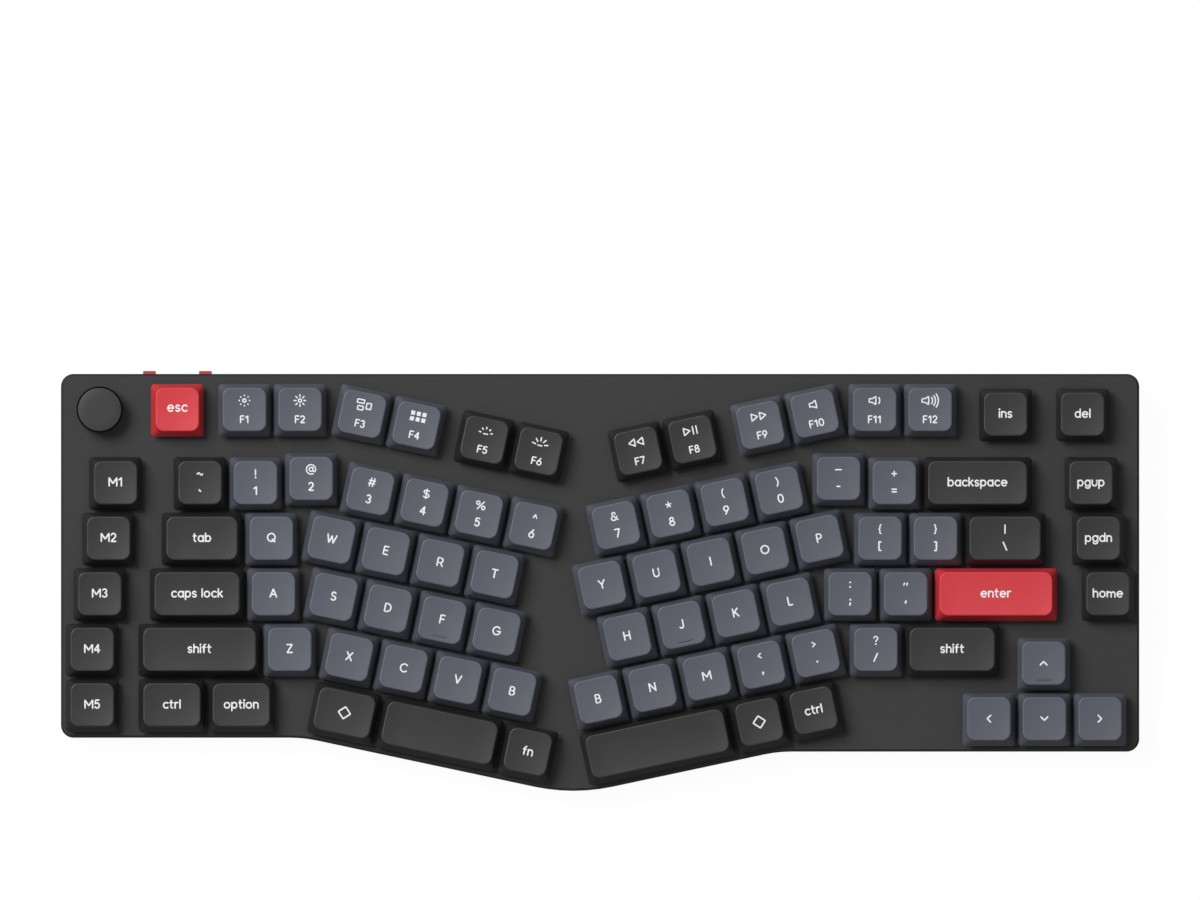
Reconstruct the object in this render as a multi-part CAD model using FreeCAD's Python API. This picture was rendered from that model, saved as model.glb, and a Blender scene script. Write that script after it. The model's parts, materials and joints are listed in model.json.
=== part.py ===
import FreeCAD, Part
import math
import os

# A low-profile ergonomic keyboard: a flat metal deck over a plastic tray, two slanted
# blocks of keys, a turning and pressing knob, and two slide switches in the back edge.
# Lengths are millimetres. "Units" are shares of the key pitch.
V = FreeCAD.Vector
X_AXIS = V(1, 0, 0)
Z_AXIS = V(0, 0, 1)

# Key field
unit = 19.05               # pitch of two one-unit keys side by side
cap_gap = 0.95             # space between two neighbouring keycaps
fan_angle = 12.0           # how far each slanted block is turned
bottom_row_y = -42.3       # middle of the lowest straight row
function_up = 5.318        # function row above the lowest row, in units
raised_up = 4.076          # the 2 and minus keys step up by this share
corner_up = 5.234          # insert and delete step down from the function row
arrow_up = -0.25           # arrow cluster below the rows, in units
left_fan_start = (-4.142, 3.848)    # the 3 key, in units
right_fan_start = (0.289, 3.234)    # the 7 key, in units

# Case
side_margin = 1.2          # deck beyond the outermost keys' cells
back_margin = 2.95
front_margin = 1.45
fan_margin = 1.45
corner_radius = 4.3
knee_radius = 45.0
nose_radius = 64.5
typing_angle = 2.6
front_height = 14.0        # deck above the table at the nose
foot_stand = 1.0           # underside above the table
deck_thickness = 1.5
deck_bevel = 0.8
skirt_depth = 5.0          # height of the deck's side wall
skirt_wall = 2.0
case_step = 0.3            # tray set back from the deck, the visible seam
case_wall = 2.2
case_floor = 2.0
lip_height = 1.6
lip_wall = 1.0
lip_clearance = 0.2
fit = 0.1                  # easy fit between a piece and its opening

# Layers below the deck
foam_thickness = 2.5
board_thickness = 1.2
board_inset = 3.5
pad_thickness = 1.2
pad_gap = 0.6
board_chips = (((-0.84, 2.22), (7.0, 7.0, 0.9)),      # controller: place in units, size
               ((-1.26, 5.40), (16.0, 12.0, 2.0)),    # radio module
               ((0.42, 5.37), (7.5, 5.8, 4.2)))       # battery socket

# Switch
switch_hole = 14.0
switch_body = 13.8
switch_flange = 15.0
flange_corner = 0.6
flange_thickness = 0.8
travel = 3.2
cavity_length = 12.0
cavity_width = 7.0
base_floor = 0.8
spring_post = (2.2, 1.0)   # diameter and height of the pin inside the spring
peg_diameter = 4.8
peg_length = 1.4
top_foot = 13.6
top_head = 12.4
top_height = 2.4
top_ceiling = 0.8
collar_outer = 6.7         # leaves 0.15 to each side of the cavity when pressed
collar_inner = 5.6
collar_top = 5.2
wing_length = 10.2
wing_width = 4.0
wing_top = 4.6
shoulder_length = 11.4
shoulder_width = 6.4
shoulder_thickness = 1.2
stop_gap = 0.1             # shoulder below the housing's ceiling at rest
stem_floor = 0.6
cross_length = 4.0
cross_width = 1.2
spring_outer = 3.8
spring_inner = 3.0
spring_pocket = 0.9
opening_clearance = 0.2

# Keycap
cap_bottom = 3.6           # skirt above the deck at rest
cap_height = 5.6
cap_taper = 3.1
cap_back_shift = 0.3       # the top face leans towards the back
cap_wall = 1.2
cap_ceiling = 1.2
cap_base_radius = 1.0
cap_top_radius = 2.9
cap_edge_drop = 0.4
cap_edge_run = 0.7
dish_depth = 0.4
post_diameter = 5.4
post_gap = 0.2             # post above the stem's floor
homing_bar = (4.0, 0.6, 0.34)   # length, width and height above the dish
homing_bar_inset = 1.9

# Stabiliser of a wide key
stabiliser_spread = 11.94  # each stem from the key's middle
stabilised_width = 2.0     # keys this wide or wider have one, in units
wire_diameter = 1.0
wire_back = 7.8            # wire's bar behind the stems
wire_bend = 1.5
wire_play = 0.15
wire_drop = 1.4             # middle of the wire's bar below the deck
blade_width = 3.4
blade_depth = 2.0
blade_top = 6.8
blade_web = 0.6            # material below the wire's slot
clip_wall = 1.3
clip_front = 3.4
clip_rear = 1.4            # clip behind the wire's bar
clip_flange = 0.7
clip_flange_thickness = 0.5
socket_wall = 0.7

# Socket under each switch
socket_length = 9.5
socket_depth = 4.4
socket_height = 1.8
socket_left = -5.5
socket_front = 3.2
socket_step = 1.6

# Knob and its encoder
knob_from_left = 13.25
knob_from_back = 12.2
knob_diameter = 15.5
knob_bottom = 1.6
knob_height = 6.8
knob_bevel = 0.5
knob_recess = 12.5
knob_recess_height = 3.0
knob_travel = 0.5
encoder_diameter = 12.0
encoder_rise = 1.0         # can above the deck
encoder_wall = 0.8
bushing_diameter = 7.0
bushing_height = 2.0
sleeve_diameter = 5.0
rotor_diameter = 9.4
rotor_thickness = 1.6
shaft_diameter = 3.0
shaft_flat = 0.5           # depth of the shaft's flat
running_clearance = 0.08
shaft_gap = 0.8            # below the pressed shaft

# Slide switches in the back edge
power_from_left = 30.35
mode_from_left = 49.55
slider_width = 4.4
slider_height = 1.8
slider_proud = 1.0
power_travel = 2.0         # each way from the middle position
mode_travel = 2.2
slide_body = (7.4, 3.4, 2.3)
slide_neck = (1.6, 1.0)

# Charging port
port_from_left = 71.7
port_width = 8.94
port_height = 3.26
port_depth = 7.35
port_wall = 0.3
port_recess = 0.9
port_opening_gap = 0.3
tongue = (6.7, 0.7, 5.0)

# Screws
screw_shank = 2.0
screw_head = 3.8
screw_head_height = 1.2
screw_recess = 4.4
screw_cross = (2.2, 0.5, 0.6)   # length, width and depth of the driver's cross
screw_hole = 2.3
thread_clearance = 0.025
screw_seat = 2.8           # post between the screw head and the board
screw_bite = 3.2           # thread inside the deck's boss
boss_diameter = 4.4
boss_hole = 4.8
post_outer = 6.4
screw_places = ((-8.40, 0.59), (-8.14, 2.22), (-8.03, 4.64), (-5.51, 0.07), (-2.83, 4.32),
                (-0.37, -0.93), (-0.73, 1.17), (-0.21, 5.27), (5.46, 0.02), (5.46, 4.69),
                (7.14, 1.12), (8.14, 3.06))     # in units, from the lowest row's middle

# Underside
rubber_depth = 0.5         # each rubber foot's seat
round_end = 0.05           # straight end left on a bar with round ends
rubber_back = (20.0, 7.0)
rubber_nose = (30.0, 4.6)
rubber_side_inset = 22.5
rubber_back_inset = 10.5
rubber_front_inset = 8.0
rubber_nose_inset = 5.0
foot_width = 28.0
foot_length = 15.0
foot_thickness = 2.6
foot_from_middle = 126.0
foot_from_back = 15.5
foot_gap = 0.4
foot_sink = 0.1            # folded foot inside its bay
foot_pin = 1.8
foot_pin_length = 2.0
bay_wall = 3.5
bay_roof = 1.4
finger_notch = (9.0, 3.5, 1.2)   # width, length and depth
battery_size = (90.0, 46.0, 4.5)
battery_centre = (10.0, 17.0)
battery_corner = 2.0

# Rows of keys: block, first key's middle and the row's height in units, node, widths
ROWS = (
    ("straight", -7.612, function_up, "escape_key", (1,)),
    ("straight", -6.404, function_up, "function_keys_outer", (1, 1)),
    ("left", -0.433, 1.330, "function_keys_outer", (1, 1)),
    ("left", 1.817, 1.330, "function_keys_inner", (1, 1)),
    ("right", 0.665, 1.225, "function_keys_inner", (1, 1)),
    ("right", 2.915, 1.225, "function_keys_outer", (1, 1)),
    ("straight", 4.940, function_up, "function_keys_outer", (1, 1)),
    ("straight", 7.297, corner_up, "navigation_keys", (1,)),
    ("straight", 8.685, corner_up, "navigation_keys", (1,)),
    ("straight", 8.835, 4, "navigation_keys", (1,)),
    ("straight", 8.971, 3, "navigation_keys", (1,)),
    ("straight", 9.140, 2, "navigation_keys", (1,)),
    ("straight", -8.724, 4, "macro_keys", (1,)),
    ("straight", -8.850, 3, "macro_keys", (1,)),
    ("straight", -9.008, 2, "macro_keys", (1,)),
    ("straight", -9.144, 1, "macro_keys", (1,)),
    ("straight", -9.144, 0, "macro_keys", (1,)),
    ("straight", -7.204, 4, "grave_key", (1,)),
    ("straight", -6.204, 4, "number_keys_left", (1,)),
    ("straight", -5.204, raised_up, "number_keys_left", (1,)),
    ("left", 0, 0, "number_keys_left", (1, 1, 1, 1)),
    ("right", 0, 0, "number_keys_right", (1, 1, 1, 1)),
    ("straight", 4.290, raised_up, "number_keys_right", (1,)),
    ("straight", 5.294, 4, "number_keys_right", (1,)),
    ("straight", 6.794, 4, "backspace_key", (2,)),
    ("straight", -7.169, 3, "tab_key", (1.5,)),
    ("straight", -5.919, 3, "upper_keys_left", (1,)),
    ("left", -0.500, -1, "upper_keys_left", (1, 1, 1, 1)),
    ("right", -0.470, -1, "upper_keys_right", (1, 1, 1, 1, 1)),
    ("straight", 5.037, 3, "upper_keys_right", (1, 1)),
    ("straight", 7.287, 3, "backslash_key", (1.5,)),
    ("straight", -7.257, 2, "caps_lock_key", (1.75,)),
    ("straight", -5.882, 2, "home_keys_left", (1,)),
    ("left", -0.250, -2, "home_keys_left", (1, 1, 1, 1)),
    ("right", -0.220, -2, "home_keys_right", (1, 1, 1, 1)),
    ("straight", 4.499, 2, "home_keys_right", (1, 1)),
    ("straight", 7.124, 2, "enter_key", (2.25,)),
    ("straight", -7.213, 1, "left_shift_key", (2.25,)),
    ("straight", -5.588, 1, "lower_keys_left", (1,)),
    ("left", 0.250, -3, "lower_keys_left", (1, 1, 1, 1)),
    ("right", -0.965, -3, "lower_keys_right", (1, 1, 1, 1, 1)),
    ("straight", 4.961, 1, "lower_keys_right", (1,)),
    ("straight", 6.336, 1, "right_shift_key", (1.75,)),
    ("straight", 7.984, 1 + arrow_up, "up_arrow_key", (1,)),
    ("straight", -7.711, 0, "left_control_key", (1.25,)),
    ("straight", -6.461, 0, "left_alt_key", (1.25,)),
    ("left", 0.375, -4, "left_meta_key", (1.25,)),
    ("left", 2.125, -4, "left_space_key", (2.25,)),
    ("left", 3.750, -4, "function_shift_key", (1,)),
    ("right", -0.090, -4, "right_space_key", (2.75,)),
    ("right", 1.785, -4, "right_modifier_keys", (1, 1)),
    ("straight", 6.997, arrow_up, "left_arrow_key", (1,)),
    ("straight", 7.997, arrow_up, "down_arrow_key", (1,)),
    ("straight", 8.997, arrow_up, "right_arrow_key", (1,)),
)
# Keys with a raised bar to feel for: node and place within that node's keys
HOMING_KEYS = (("home_keys_left", 3), ("home_keys_right", 1), ("up_arrow_key", 0))

# Heights worked out from the layers, above the deck's top face
deck_under = -deck_thickness
board_top = deck_under - foam_thickness
board_under = board_top - board_thickness
slider_centre_z = board_under - slide_body[2] / 2
deep = 60.0                # longer than any height here, for cutting tools
cap_top = cap_bottom + cap_height
shoulder_top = flange_thickness + top_height - top_ceiling - stop_gap
shoulder_bottom = shoulder_top - shoulder_thickness
spring_top = shoulder_bottom + spring_pocket
cavity_floor = board_top + base_floor
wire_z = deck_under - wire_drop
wire_angle = math.degrees(math.atan(travel / wire_back))
slot_half = (blade_depth / 2 * math.tan(math.radians(wire_angle))
             + wire_diameter / 2 / math.cos(math.radians(wire_angle)) + wire_play)
slot_z = wire_z + travel


def moved(shape, placement):
    """A copy of the shape, carried by the placement."""
    copy = shape.copy()
    copy.Placement = placement.multiply(copy.Placement)
    return copy


def at(x, y, z=0.0, angle=0.0):
    return FreeCAD.Placement(V(x, y, z), FreeCAD.Rotation(Z_AXIS, angle))


def block(width, depth, low, high, x=0.0, y=0.0):
    """An upright box with its middle at x, y."""
    return Part.makeBox(width, depth, high - low, V(x - width / 2, y - depth / 2, low))


def span(x0, x1, y0, y1, low, high):
    return Part.makeBox(x1 - x0, y1 - y0, high - low, V(x0, y0, low))


def rod(diameter, low, high, x=0.0, y=0.0):
    return Part.makeCylinder(diameter / 2, high - low, V(x, y, low))


def prism(wire, low, high):
    face = Part.Face(wire)
    face.translate(V(0, 0, low - wire.BoundBox.ZMin))
    return face.extrude(V(0, 0, high - low))


def joined(shapes):
    shapes = list(shapes)
    result = shapes[0]
    if len(shapes) > 1:
        result = result.fuse(shapes[1:])
    return result.removeSplitter()


def rounded_loop(corners):
    """A closed wire through (point, radius) corners, each turned into a tangent arc."""
    count = len(corners)
    starts, mids, ends = [], [], []
    for index, (point, radius) in enumerate(corners):
        back = (corners[index - 1][0] - point).normalize()
        ahead = (corners[(index + 1) % count][0] - point).normalize()
        half = (math.pi - back.getAngle(ahead)) / 2
        reach = radius * math.tan(half)
        inward = (back + ahead).normalize()
        starts.append(point + back * reach)
        ends.append(point + ahead * reach)
        mids.append(point + inward * (radius / math.cos(half) - radius))
    edges = []
    for index in range(count):
        edges.append(Part.Arc(starts[index], mids[index], ends[index]).toShape())
        following = starts[(index + 1) % count]
        if (following - ends[index]).Length > 1e-6:
            edges.append(Part.LineSegment(ends[index], following).toShape())
    return Part.Wire(edges)


def rounded_rectangle(width, depth, radius, z, y=0.0):
    half_w, half_d = width / 2, depth / 2
    corners = ((-half_w, -half_d), (half_w, -half_d), (half_w, half_d), (-half_w, half_d))
    return rounded_loop([(V(cx, cy + y, z), radius) for cx, cy in corners])


def block_frame(name):
    """Where a block of rows starts, and how it is turned."""
    if name == "left":
        across, up, angle = left_fan_start[0], left_fan_start[1], -fan_angle
    elif name == "right":
        across, up, angle = right_fan_start[0], right_fan_start[1], fan_angle
    else:
        across, up, angle = 0.0, 0.0, 0.0
    return at(across * unit, bottom_row_y + up * unit, 0.0, angle)


def all_keys():
    """Every key as (node, width in units, placement of its middle on the deck)."""
    keys = []
    for name, across, up, node, widths in ROWS:
        frame = block_frame(name)
        middle = across
        for index, width in enumerate(widths):
            if index:
                middle += (widths[index - 1] + width) / 2
            keys.append((node, width, frame.multiply(at(middle * unit, up * unit))))
    return keys


def crossing(point, direction, other, other_direction):
    """Where two lines in the deck's plane meet."""
    gap = other - point
    scale = direction.x * other_direction.y - direction.y * other_direction.x
    along = (gap.x * other_direction.y - gap.y * other_direction.x) / scale
    return point + direction * along


def deck_edges():
    """Left, right, back and the two front edges of the case, from the keys it carries."""
    rows = [row for row in ROWS if row[0] == "straight"]
    left = min(row[1] - row[4][0] / 2 for row in rows) * unit - side_margin
    right = max(row[1] - row[4][0] / 2 + sum(row[4]) for row in rows) * unit + side_margin
    back = bottom_row_y + (function_up + 0.5) * unit + back_margin
    front_left = bottom_row_y - 0.5 * unit - front_margin
    front_right = bottom_row_y + (arrow_up - 0.5) * unit - front_margin
    return left, right, back, front_left, front_right


def outline(inset=0.0):
    """The case seen from above: two knees and a rounded nose along the front."""
    left, right, back, front_left, front_right = deck_edges()
    slopes = []
    for name in ("left", "right"):
        frame = block_frame(name)
        below = frame.multVec(V(0, -4.5 * unit - fan_margin, 0))
        slopes.append((below, frame.Rotation.multVec(X_AXIS)))
    knee_left = crossing(V(left, front_left, 0), X_AXIS, *slopes[0])
    nose = crossing(*slopes[0], *slopes[1])
    knee_right = crossing(V(right, front_right, 0), X_AXIS, *slopes[1])
    wire = rounded_loop([
        (V(left, back, 0), corner_radius),
        (V(left, front_left, 0), corner_radius),
        (knee_left, knee_radius),
        (nose, nose_radius),
        (knee_right, knee_radius),
        (V(right, front_right, 0), corner_radius),
        (V(right, back, 0), corner_radius),
    ])
    if inset:
        wire = wire.makeOffset2D(-inset)
    return wire


def screw_points():
    return [(across * unit, bottom_row_y + up * unit) for across, up in screw_places]


def fan_out(tool, keys):
    """The tool repeated at every key."""
    return [moved(tool, frame) for _, _, frame in keys]


def stabilised(keys):
    return [key for key in keys if key[1] >= stabilised_width]


def for_both_stems(tool):
    """The tool at both stabiliser stems of one key."""
    return [moved(tool, at(side * stabiliser_spread, 0)) for side in (-1, 1)]


def clip_width():
    return blade_width + 2 * (fit * 2 + clip_wall)


def clip_end():
    return wire_back - wire_diameter / 2 - fit


def clip_tail():
    return wire_back + wire_diameter / 2 + clip_rear


def clip_openings(low, high, gap):
    """Room for one stabiliser's two clips, for the deck or the layers below."""
    reach = clip_end() if low >= deck_under else clip_tail()
    width = clip_width() + 2 * gap
    tool = span(-width / 2, width / 2, -clip_front - gap, reach + gap, low, high)
    return for_both_stems(tool)


def slider_places():
    left = deck_edges()[0]
    return ((left + power_from_left, power_travel, power_travel),
            (left + mode_from_left, 0.0, mode_travel))


def slider_slots():
    """Slots that the two fingers slide in, through the back wall."""
    back = deck_edges()[2]
    slots = []
    for x, leftward, rightward in slider_places():
        half = slider_width / 2 + fit * 2
        high = slider_centre_z + slider_height / 2 + fit * 2
        low = slider_centre_z - slider_height / 2 - fit * 2
        slots.append(span(x - half - leftward, x + half + rightward,
                          back - board_inset - fit, back + 1, low, high))
    return slots


def knob_place():
    left, _, back, _, _ = deck_edges()
    return left + knob_from_left, back - knob_from_back


def make_deck(keys):
    top = prism(outline(), -skirt_depth, 0)
    rim = [edge for edge in top.Edges if edge.BoundBox.ZMin > -0.01]
    top = top.makeChamfer(deck_bevel, rim)
    top = top.cut(prism(outline(skirt_wall), -skirt_depth - 1, deck_under))
    bosses = [rod(boss_diameter, board_under, deck_under, x, y) for x, y in screw_points()]
    top = top.fuse(bosses)
    knob_x, knob_y = knob_place()
    cuts = fan_out(block(switch_hole, switch_hole, deck_under - 1, 1), keys)
    for _, _, frame in stabilised(keys):
        cuts += [moved(tool, frame) for tool in clip_openings(deck_under, 1, fit)]
    cuts += [rod(screw_shank + 2 * thread_clearance, board_under - 1,
                 board_under + screw_bite, x, y) for x, y in screw_points()]
    cuts.append(rod(encoder_diameter + 4 * fit, deck_under - 1, 1, knob_x, knob_y))
    return top.cut(cuts + slider_slots()).removeSplitter()


def make_foam(keys):
    foam = prism(outline(board_inset), board_top, deck_under)
    knob_x, knob_y = knob_place()
    cuts = fan_out(block(switch_hole, switch_hole, board_top - 1, 1), keys)
    bar = 2 * stabiliser_spread + wire_diameter + 2 * pad_gap
    for _, _, frame in stabilised(keys):
        cuts += [moved(tool, frame) for tool in clip_openings(board_top - 1, 1, fit)]
        channel = block(bar, wire_diameter + 4 * fit, board_top - 1, 1, 0, wire_back)
        cuts.append(moved(channel, frame))
    cuts += [rod(boss_hole, board_top - 1, 1, x, y) for x, y in screw_points()]
    cuts.append(rod(encoder_diameter + 4 * fit, board_top - 1, 1, knob_x, knob_y))
    return foam.cut(cuts)


def make_board(keys):
    board = prism(outline(board_inset), board_under, board_top)
    cuts = fan_out(rod(peg_diameter + 2 * fit, board_under - 1, 0), keys)
    hole = block(blade_width + 4 * fit, blade_depth + 4 * fit, board_under - 1, 0)
    for _, _, frame in stabilised(keys):
        cuts += [moved(tool, frame) for tool in for_both_stems(hole)]
    cuts += [rod(boss_hole, board_under - 1, 0, x, y) for x, y in screw_points()]
    return board.cut(cuts)


def make_board_chips():
    """The controller, the radio module and the battery socket, soldered under the board."""
    chips = []
    for (across, up), (width, depth, height) in board_chips:
        x, y = across * unit, bottom_row_y + up * unit
        chips.append(block(width, depth, board_under - height, board_under, x, y))
    return chips


def switch_base():
    body = block(switch_body, switch_body, board_top, 0)
    flange = rounded_rectangle(switch_flange, switch_flange, flange_corner, 0)
    shell = joined([body, prism(flange, 0, flange_thickness),
                    rod(peg_diameter, board_top - peg_length, board_top)])
    shell = shell.cut(block(cavity_length, cavity_width, cavity_floor, flange_thickness + 1))
    diameter, height = spring_post
    return shell.fuse(rod(diameter, cavity_floor, cavity_floor + height))


def switch_top():
    low, high = flange_thickness, flange_thickness + top_height
    sections = []
    for size, z in ((top_foot, low), (top_head, high)):
        half = size / 2
        ring = [V(-half, -half, z), V(half, -half, z), V(half, half, z), V(-half, half, z)]
        sections.append(Part.makePolygon(ring + ring[:1]))
    shell = Part.makeLoft(sections, True, True)
    gap = 2 * opening_clearance
    return shell.cut([
        block(cavity_length, cavity_width, low - 1, high - top_ceiling),
        block(wing_length + gap, wing_width + gap, low, high + 1),
        rod(collar_outer + gap, low, high + 1),
    ])


def switch_stem():
    floor = shoulder_top + stem_floor
    stem = joined([
        block(shoulder_length, shoulder_width, shoulder_bottom, shoulder_top),
        block(wing_length, wing_width, shoulder_top, wing_top),
        rod(collar_outer, shoulder_top, collar_top),
    ])
    stem = stem.cut([rod(collar_inner, floor, collar_top + 1),
                     rod(spring_outer + 4 * fit, shoulder_bottom - 1, spring_top)])
    cross = [block(cross_length, cross_width, floor, collar_top),
             block(cross_width, cross_length, floor, collar_top)]
    return stem.fuse(cross)


def switch_spring():
    return rod(spring_outer, cavity_floor, spring_top).cut(
        rod(spring_inner, cavity_floor - 1, spring_top + 1))


def hot_swap_socket():
    left, right = socket_left, socket_left + socket_length
    front, back = socket_front, socket_front + socket_depth
    low, high = board_under - socket_height, board_under
    body = span(left, right, front, back, low, high)
    return body.cut(span(left - 1, left + socket_length / 3, front - 1, front + socket_step,
                         low - 1, high + 1))


def cap_size(width):
    return width * unit - cap_gap, unit - cap_gap


def keycap(width):
    """A hollow cap with sloped sides, a rounded upper edge, a dish and a cross-slotted post."""
    base_w, base_d = cap_size(width)
    top_w, top_d = base_w - cap_taper, base_d - cap_taper
    edge_z = cap_top - cap_edge_drop
    run = 2 * cap_edge_run
    outer = Part.makeLoft([
        rounded_rectangle(base_w, base_d, cap_base_radius, cap_bottom),
        rounded_rectangle(top_w, top_d, cap_top_radius, edge_z, cap_back_shift),
        rounded_rectangle(top_w - run, top_d - run, cap_top_radius - cap_edge_run, cap_top,
                          cap_back_shift),
    ], True, True)
    ceiling = cap_top - cap_ceiling
    thick = 2 * cap_wall
    inner = Part.makeLoft([
        rounded_rectangle(base_w - thick, base_d - thick, cap_base_radius / 2, cap_bottom),
        rounded_rectangle(top_w - thick, top_d - thick, cap_top_radius - cap_wall, ceiling,
                          cap_back_shift),
    ], True, True)
    cap = outer.cut(inner)
    post = rod(post_diameter, shoulder_top + stem_floor + post_gap, ceiling)
    solid = cap.fuse([post] + cap_blade_sockets(width, ceiling))
    slot = cross_width + fit
    slots = [block(cross_length + fit, slot, 0, collar_top + post_gap),
             block(slot, cross_length + fit, 0, collar_top + post_gap)]
    return solid.cut(slots + [dish(width, top_w, top_d)] + blade_slots(width))


def dish(width, top_w, top_d):
    """The hollow pressed into the top face: a bowl, or a trough on a wide key."""
    if width > 1.5:
        reach = top_d / 2
        radius = (reach ** 2 + dish_depth ** 2) / (2 * dish_depth)
        length = 2 * top_w
        middle = V(-top_w, cap_back_shift, cap_top - dish_depth + radius)
        return Part.makeCylinder(radius, length, middle, X_AXIS)
    reach = math.hypot(top_w, top_d) / 2
    radius = (reach ** 2 + dish_depth ** 2) / (2 * dish_depth)
    return Part.makeSphere(radius, V(0, cap_back_shift, cap_top - dish_depth + radius))


def cap_blade_sockets(width, ceiling):
    if width < stabilised_width:
        return []
    size = 2 * socket_wall + fit
    tool = block(blade_width + size, blade_depth + size, cap_bottom + fit, ceiling)
    return for_both_stems(tool)


def blade_slots(width):
    if width < stabilised_width:
        return []
    tool = block(blade_width + fit, blade_depth + fit, 0, blade_top + fit)
    return for_both_stems(tool)


def stabiliser_blade():
    """One stabiliser stem: a flat blade with a slot for the wire's arm."""
    low = slot_z - slot_half - blade_web
    blade = block(blade_width, blade_depth, low, blade_top)
    slot = block(wire_diameter + 2 * wire_play, blade_depth + 1,
                 slot_z - slot_half, slot_z + slot_half)
    return blade.cut(slot)


def stabiliser_clip():
    """One stabiliser housing, held in the deck and open where the stem and wire move."""
    half = clip_width() / 2
    floor = wire_z - wire_diameter / 2 - wire_play
    body = joined([
        span(-half, half, -clip_front, clip_tail(), board_top, deck_under),
        span(-half, half, -clip_front, clip_end(), deck_under, 0),
        span(-half - clip_flange, half + clip_flange, -clip_front - clip_flange,
             clip_end() - fit, 0, clip_flange_thickness),
    ])
    channel = blade_width / 2 + 2 * fit
    groove = wire_diameter / 2 + wire_play
    stem_room = blade_depth / 2 + 2 * fit
    return body.cut([
        span(-channel, channel, -clip_front + clip_wall / 2, clip_end(), floor, 1),
        span(-channel, channel, -stem_room, stem_room, board_top - 1, 1),
        span(-half - 1, half + 1, wire_back - groove, wire_back + groove, floor, deck_under + 1),
    ])


def stabiliser_wire():
    """The wire of a wide key: a bar behind the stems and an arm into each stem."""
    tip = -blade_depth / 2 - wire_diameter / 2
    rise = (wire_back - tip) * math.tan(math.radians(wire_angle))
    side, bend = stabiliser_spread, wire_bend
    arm = V(0, tip - wire_back, rise).normalize()
    corner = V(side, wire_back, wire_z)
    far = corner + arm * ((wire_back - tip) / math.cos(math.radians(wire_angle)))
    half = []
    middle = corner + (arm - X_AXIS).normalize() * (bend * (math.sqrt(2) - 1))
    half.append(Part.Arc(corner - X_AXIS * bend, middle, corner + arm * bend).toShape())
    half.append(Part.LineSegment(corner + arm * bend, far).toShape())
    mirror = [edge.mirror(V(0, 0, 0), X_AXIS) for edge in half]
    bar = Part.LineSegment(V(bend - side, wire_back, wire_z),
                           V(side - bend, wire_back, wire_z)).toShape()
    path = Part.Wire(Part.__sortEdges__([bar] + half + mirror))
    end = V(-far.x, far.y, far.z)
    section = Part.Wire([Part.makeCircle(wire_diameter / 2, end, arm)])
    return path.makePipeShell([section], True, False)


def make_encoder():
    """The encoder's can, its turning rotor, the shaft and the knob, around the knob's axis."""
    low, high = board_top, encoder_rise
    bore = sleeve_diameter + 2 * running_clearance
    ceiling = high - encoder_wall
    rotor_top = ceiling - 2 * fit
    rotor_low = rotor_top - rotor_thickness
    bushing_top = high + bushing_height
    can = joined([rod(encoder_diameter, low, high), rod(bushing_diameter, ceiling, bushing_top)])
    can = can.cut([rod(encoder_diameter - 2 * encoder_wall, low + encoder_wall, ceiling),
                   rod(bore, low + encoder_wall, bushing_top + 1)])
    shaft_low = low + encoder_wall + knob_travel + shaft_gap / 2
    knob_top = knob_bottom + knob_height
    shaft_top = knob_top - 2 * knob_bevel - fit
    shaft = flatted_rod(shaft_diameter, shaft_low, shaft_top)
    rotor = joined([rod(rotor_diameter, rotor_low, rotor_top),
                    rod(sleeve_diameter, rotor_low, bushing_top - fit)])
    wide = shaft_diameter + 2 * running_clearance
    rotor = rotor.cut(flatted_rod(wide, rotor_low - 1, bushing_top + 1))
    knob = rod(knob_diameter, knob_bottom, knob_top)
    knob = knob.makeChamfer(knob_bevel, [edge for edge in knob.Edges
                                         if edge.BoundBox.ZMin > knob_top - 0.01])
    knob = knob.cut([rod(knob_recess, knob_bottom - 1, knob_bottom + knob_recess_height),
                     flatted_rod(shaft_diameter, 0, shaft_top)])
    return {"encoder_body": can, "encoder_rotor": rotor, "encoder_shaft": shaft, "knob": knob}


def flatted_rod(diameter, low, high):
    """A round rod with one flat side, so that it turns what it sits in."""
    edge = diameter / 2 - shaft_flat
    return rod(diameter, low, high).cut(
        span(edge, diameter, -diameter, diameter, low - 1, high + 1))


def make_slide_switches():
    """Two switch bodies under the board, and a finger out of the back wall for each."""
    back = deck_edges()[2]
    width, depth, height = slide_body
    neck_w, neck_h = slide_neck
    edge = back - board_inset
    bodies, fingers = [], []
    for x, leftward, rightward in slider_places():
        middle = x + (rightward - leftward) / 2
        body = span(middle - width / 2, middle + width / 2, edge - depth, edge,
                    board_under - height, board_under)
        groove = span(x - leftward - neck_w / 2 - fit, x + rightward + neck_w / 2 + fit,
                      edge - depth / 2, edge + 1,
                      slider_centre_z - neck_h / 2 - fit, slider_centre_z + neck_h / 2 + fit)
        bodies.append(body.cut(groove))
        finger = span(x - slider_width / 2, x + slider_width / 2, edge + fit, back + slider_proud,
                      slider_centre_z - slider_height / 2, slider_centre_z + slider_height / 2)
        neck = span(x - neck_w / 2, x + neck_w / 2, edge - depth / 2 + fit, edge + fit,
                    slider_centre_z - neck_h / 2, slider_centre_z + neck_h / 2)
        fingers.append(finger.fuse(neck).removeSplitter())
    return bodies, fingers


def port_frame():
    """Middle of the port's mouth in the back wall, with Y into the wall."""
    left, _, back, _, _ = deck_edges()
    return left + port_from_left, back - port_recess, board_under - port_height / 2


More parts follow.
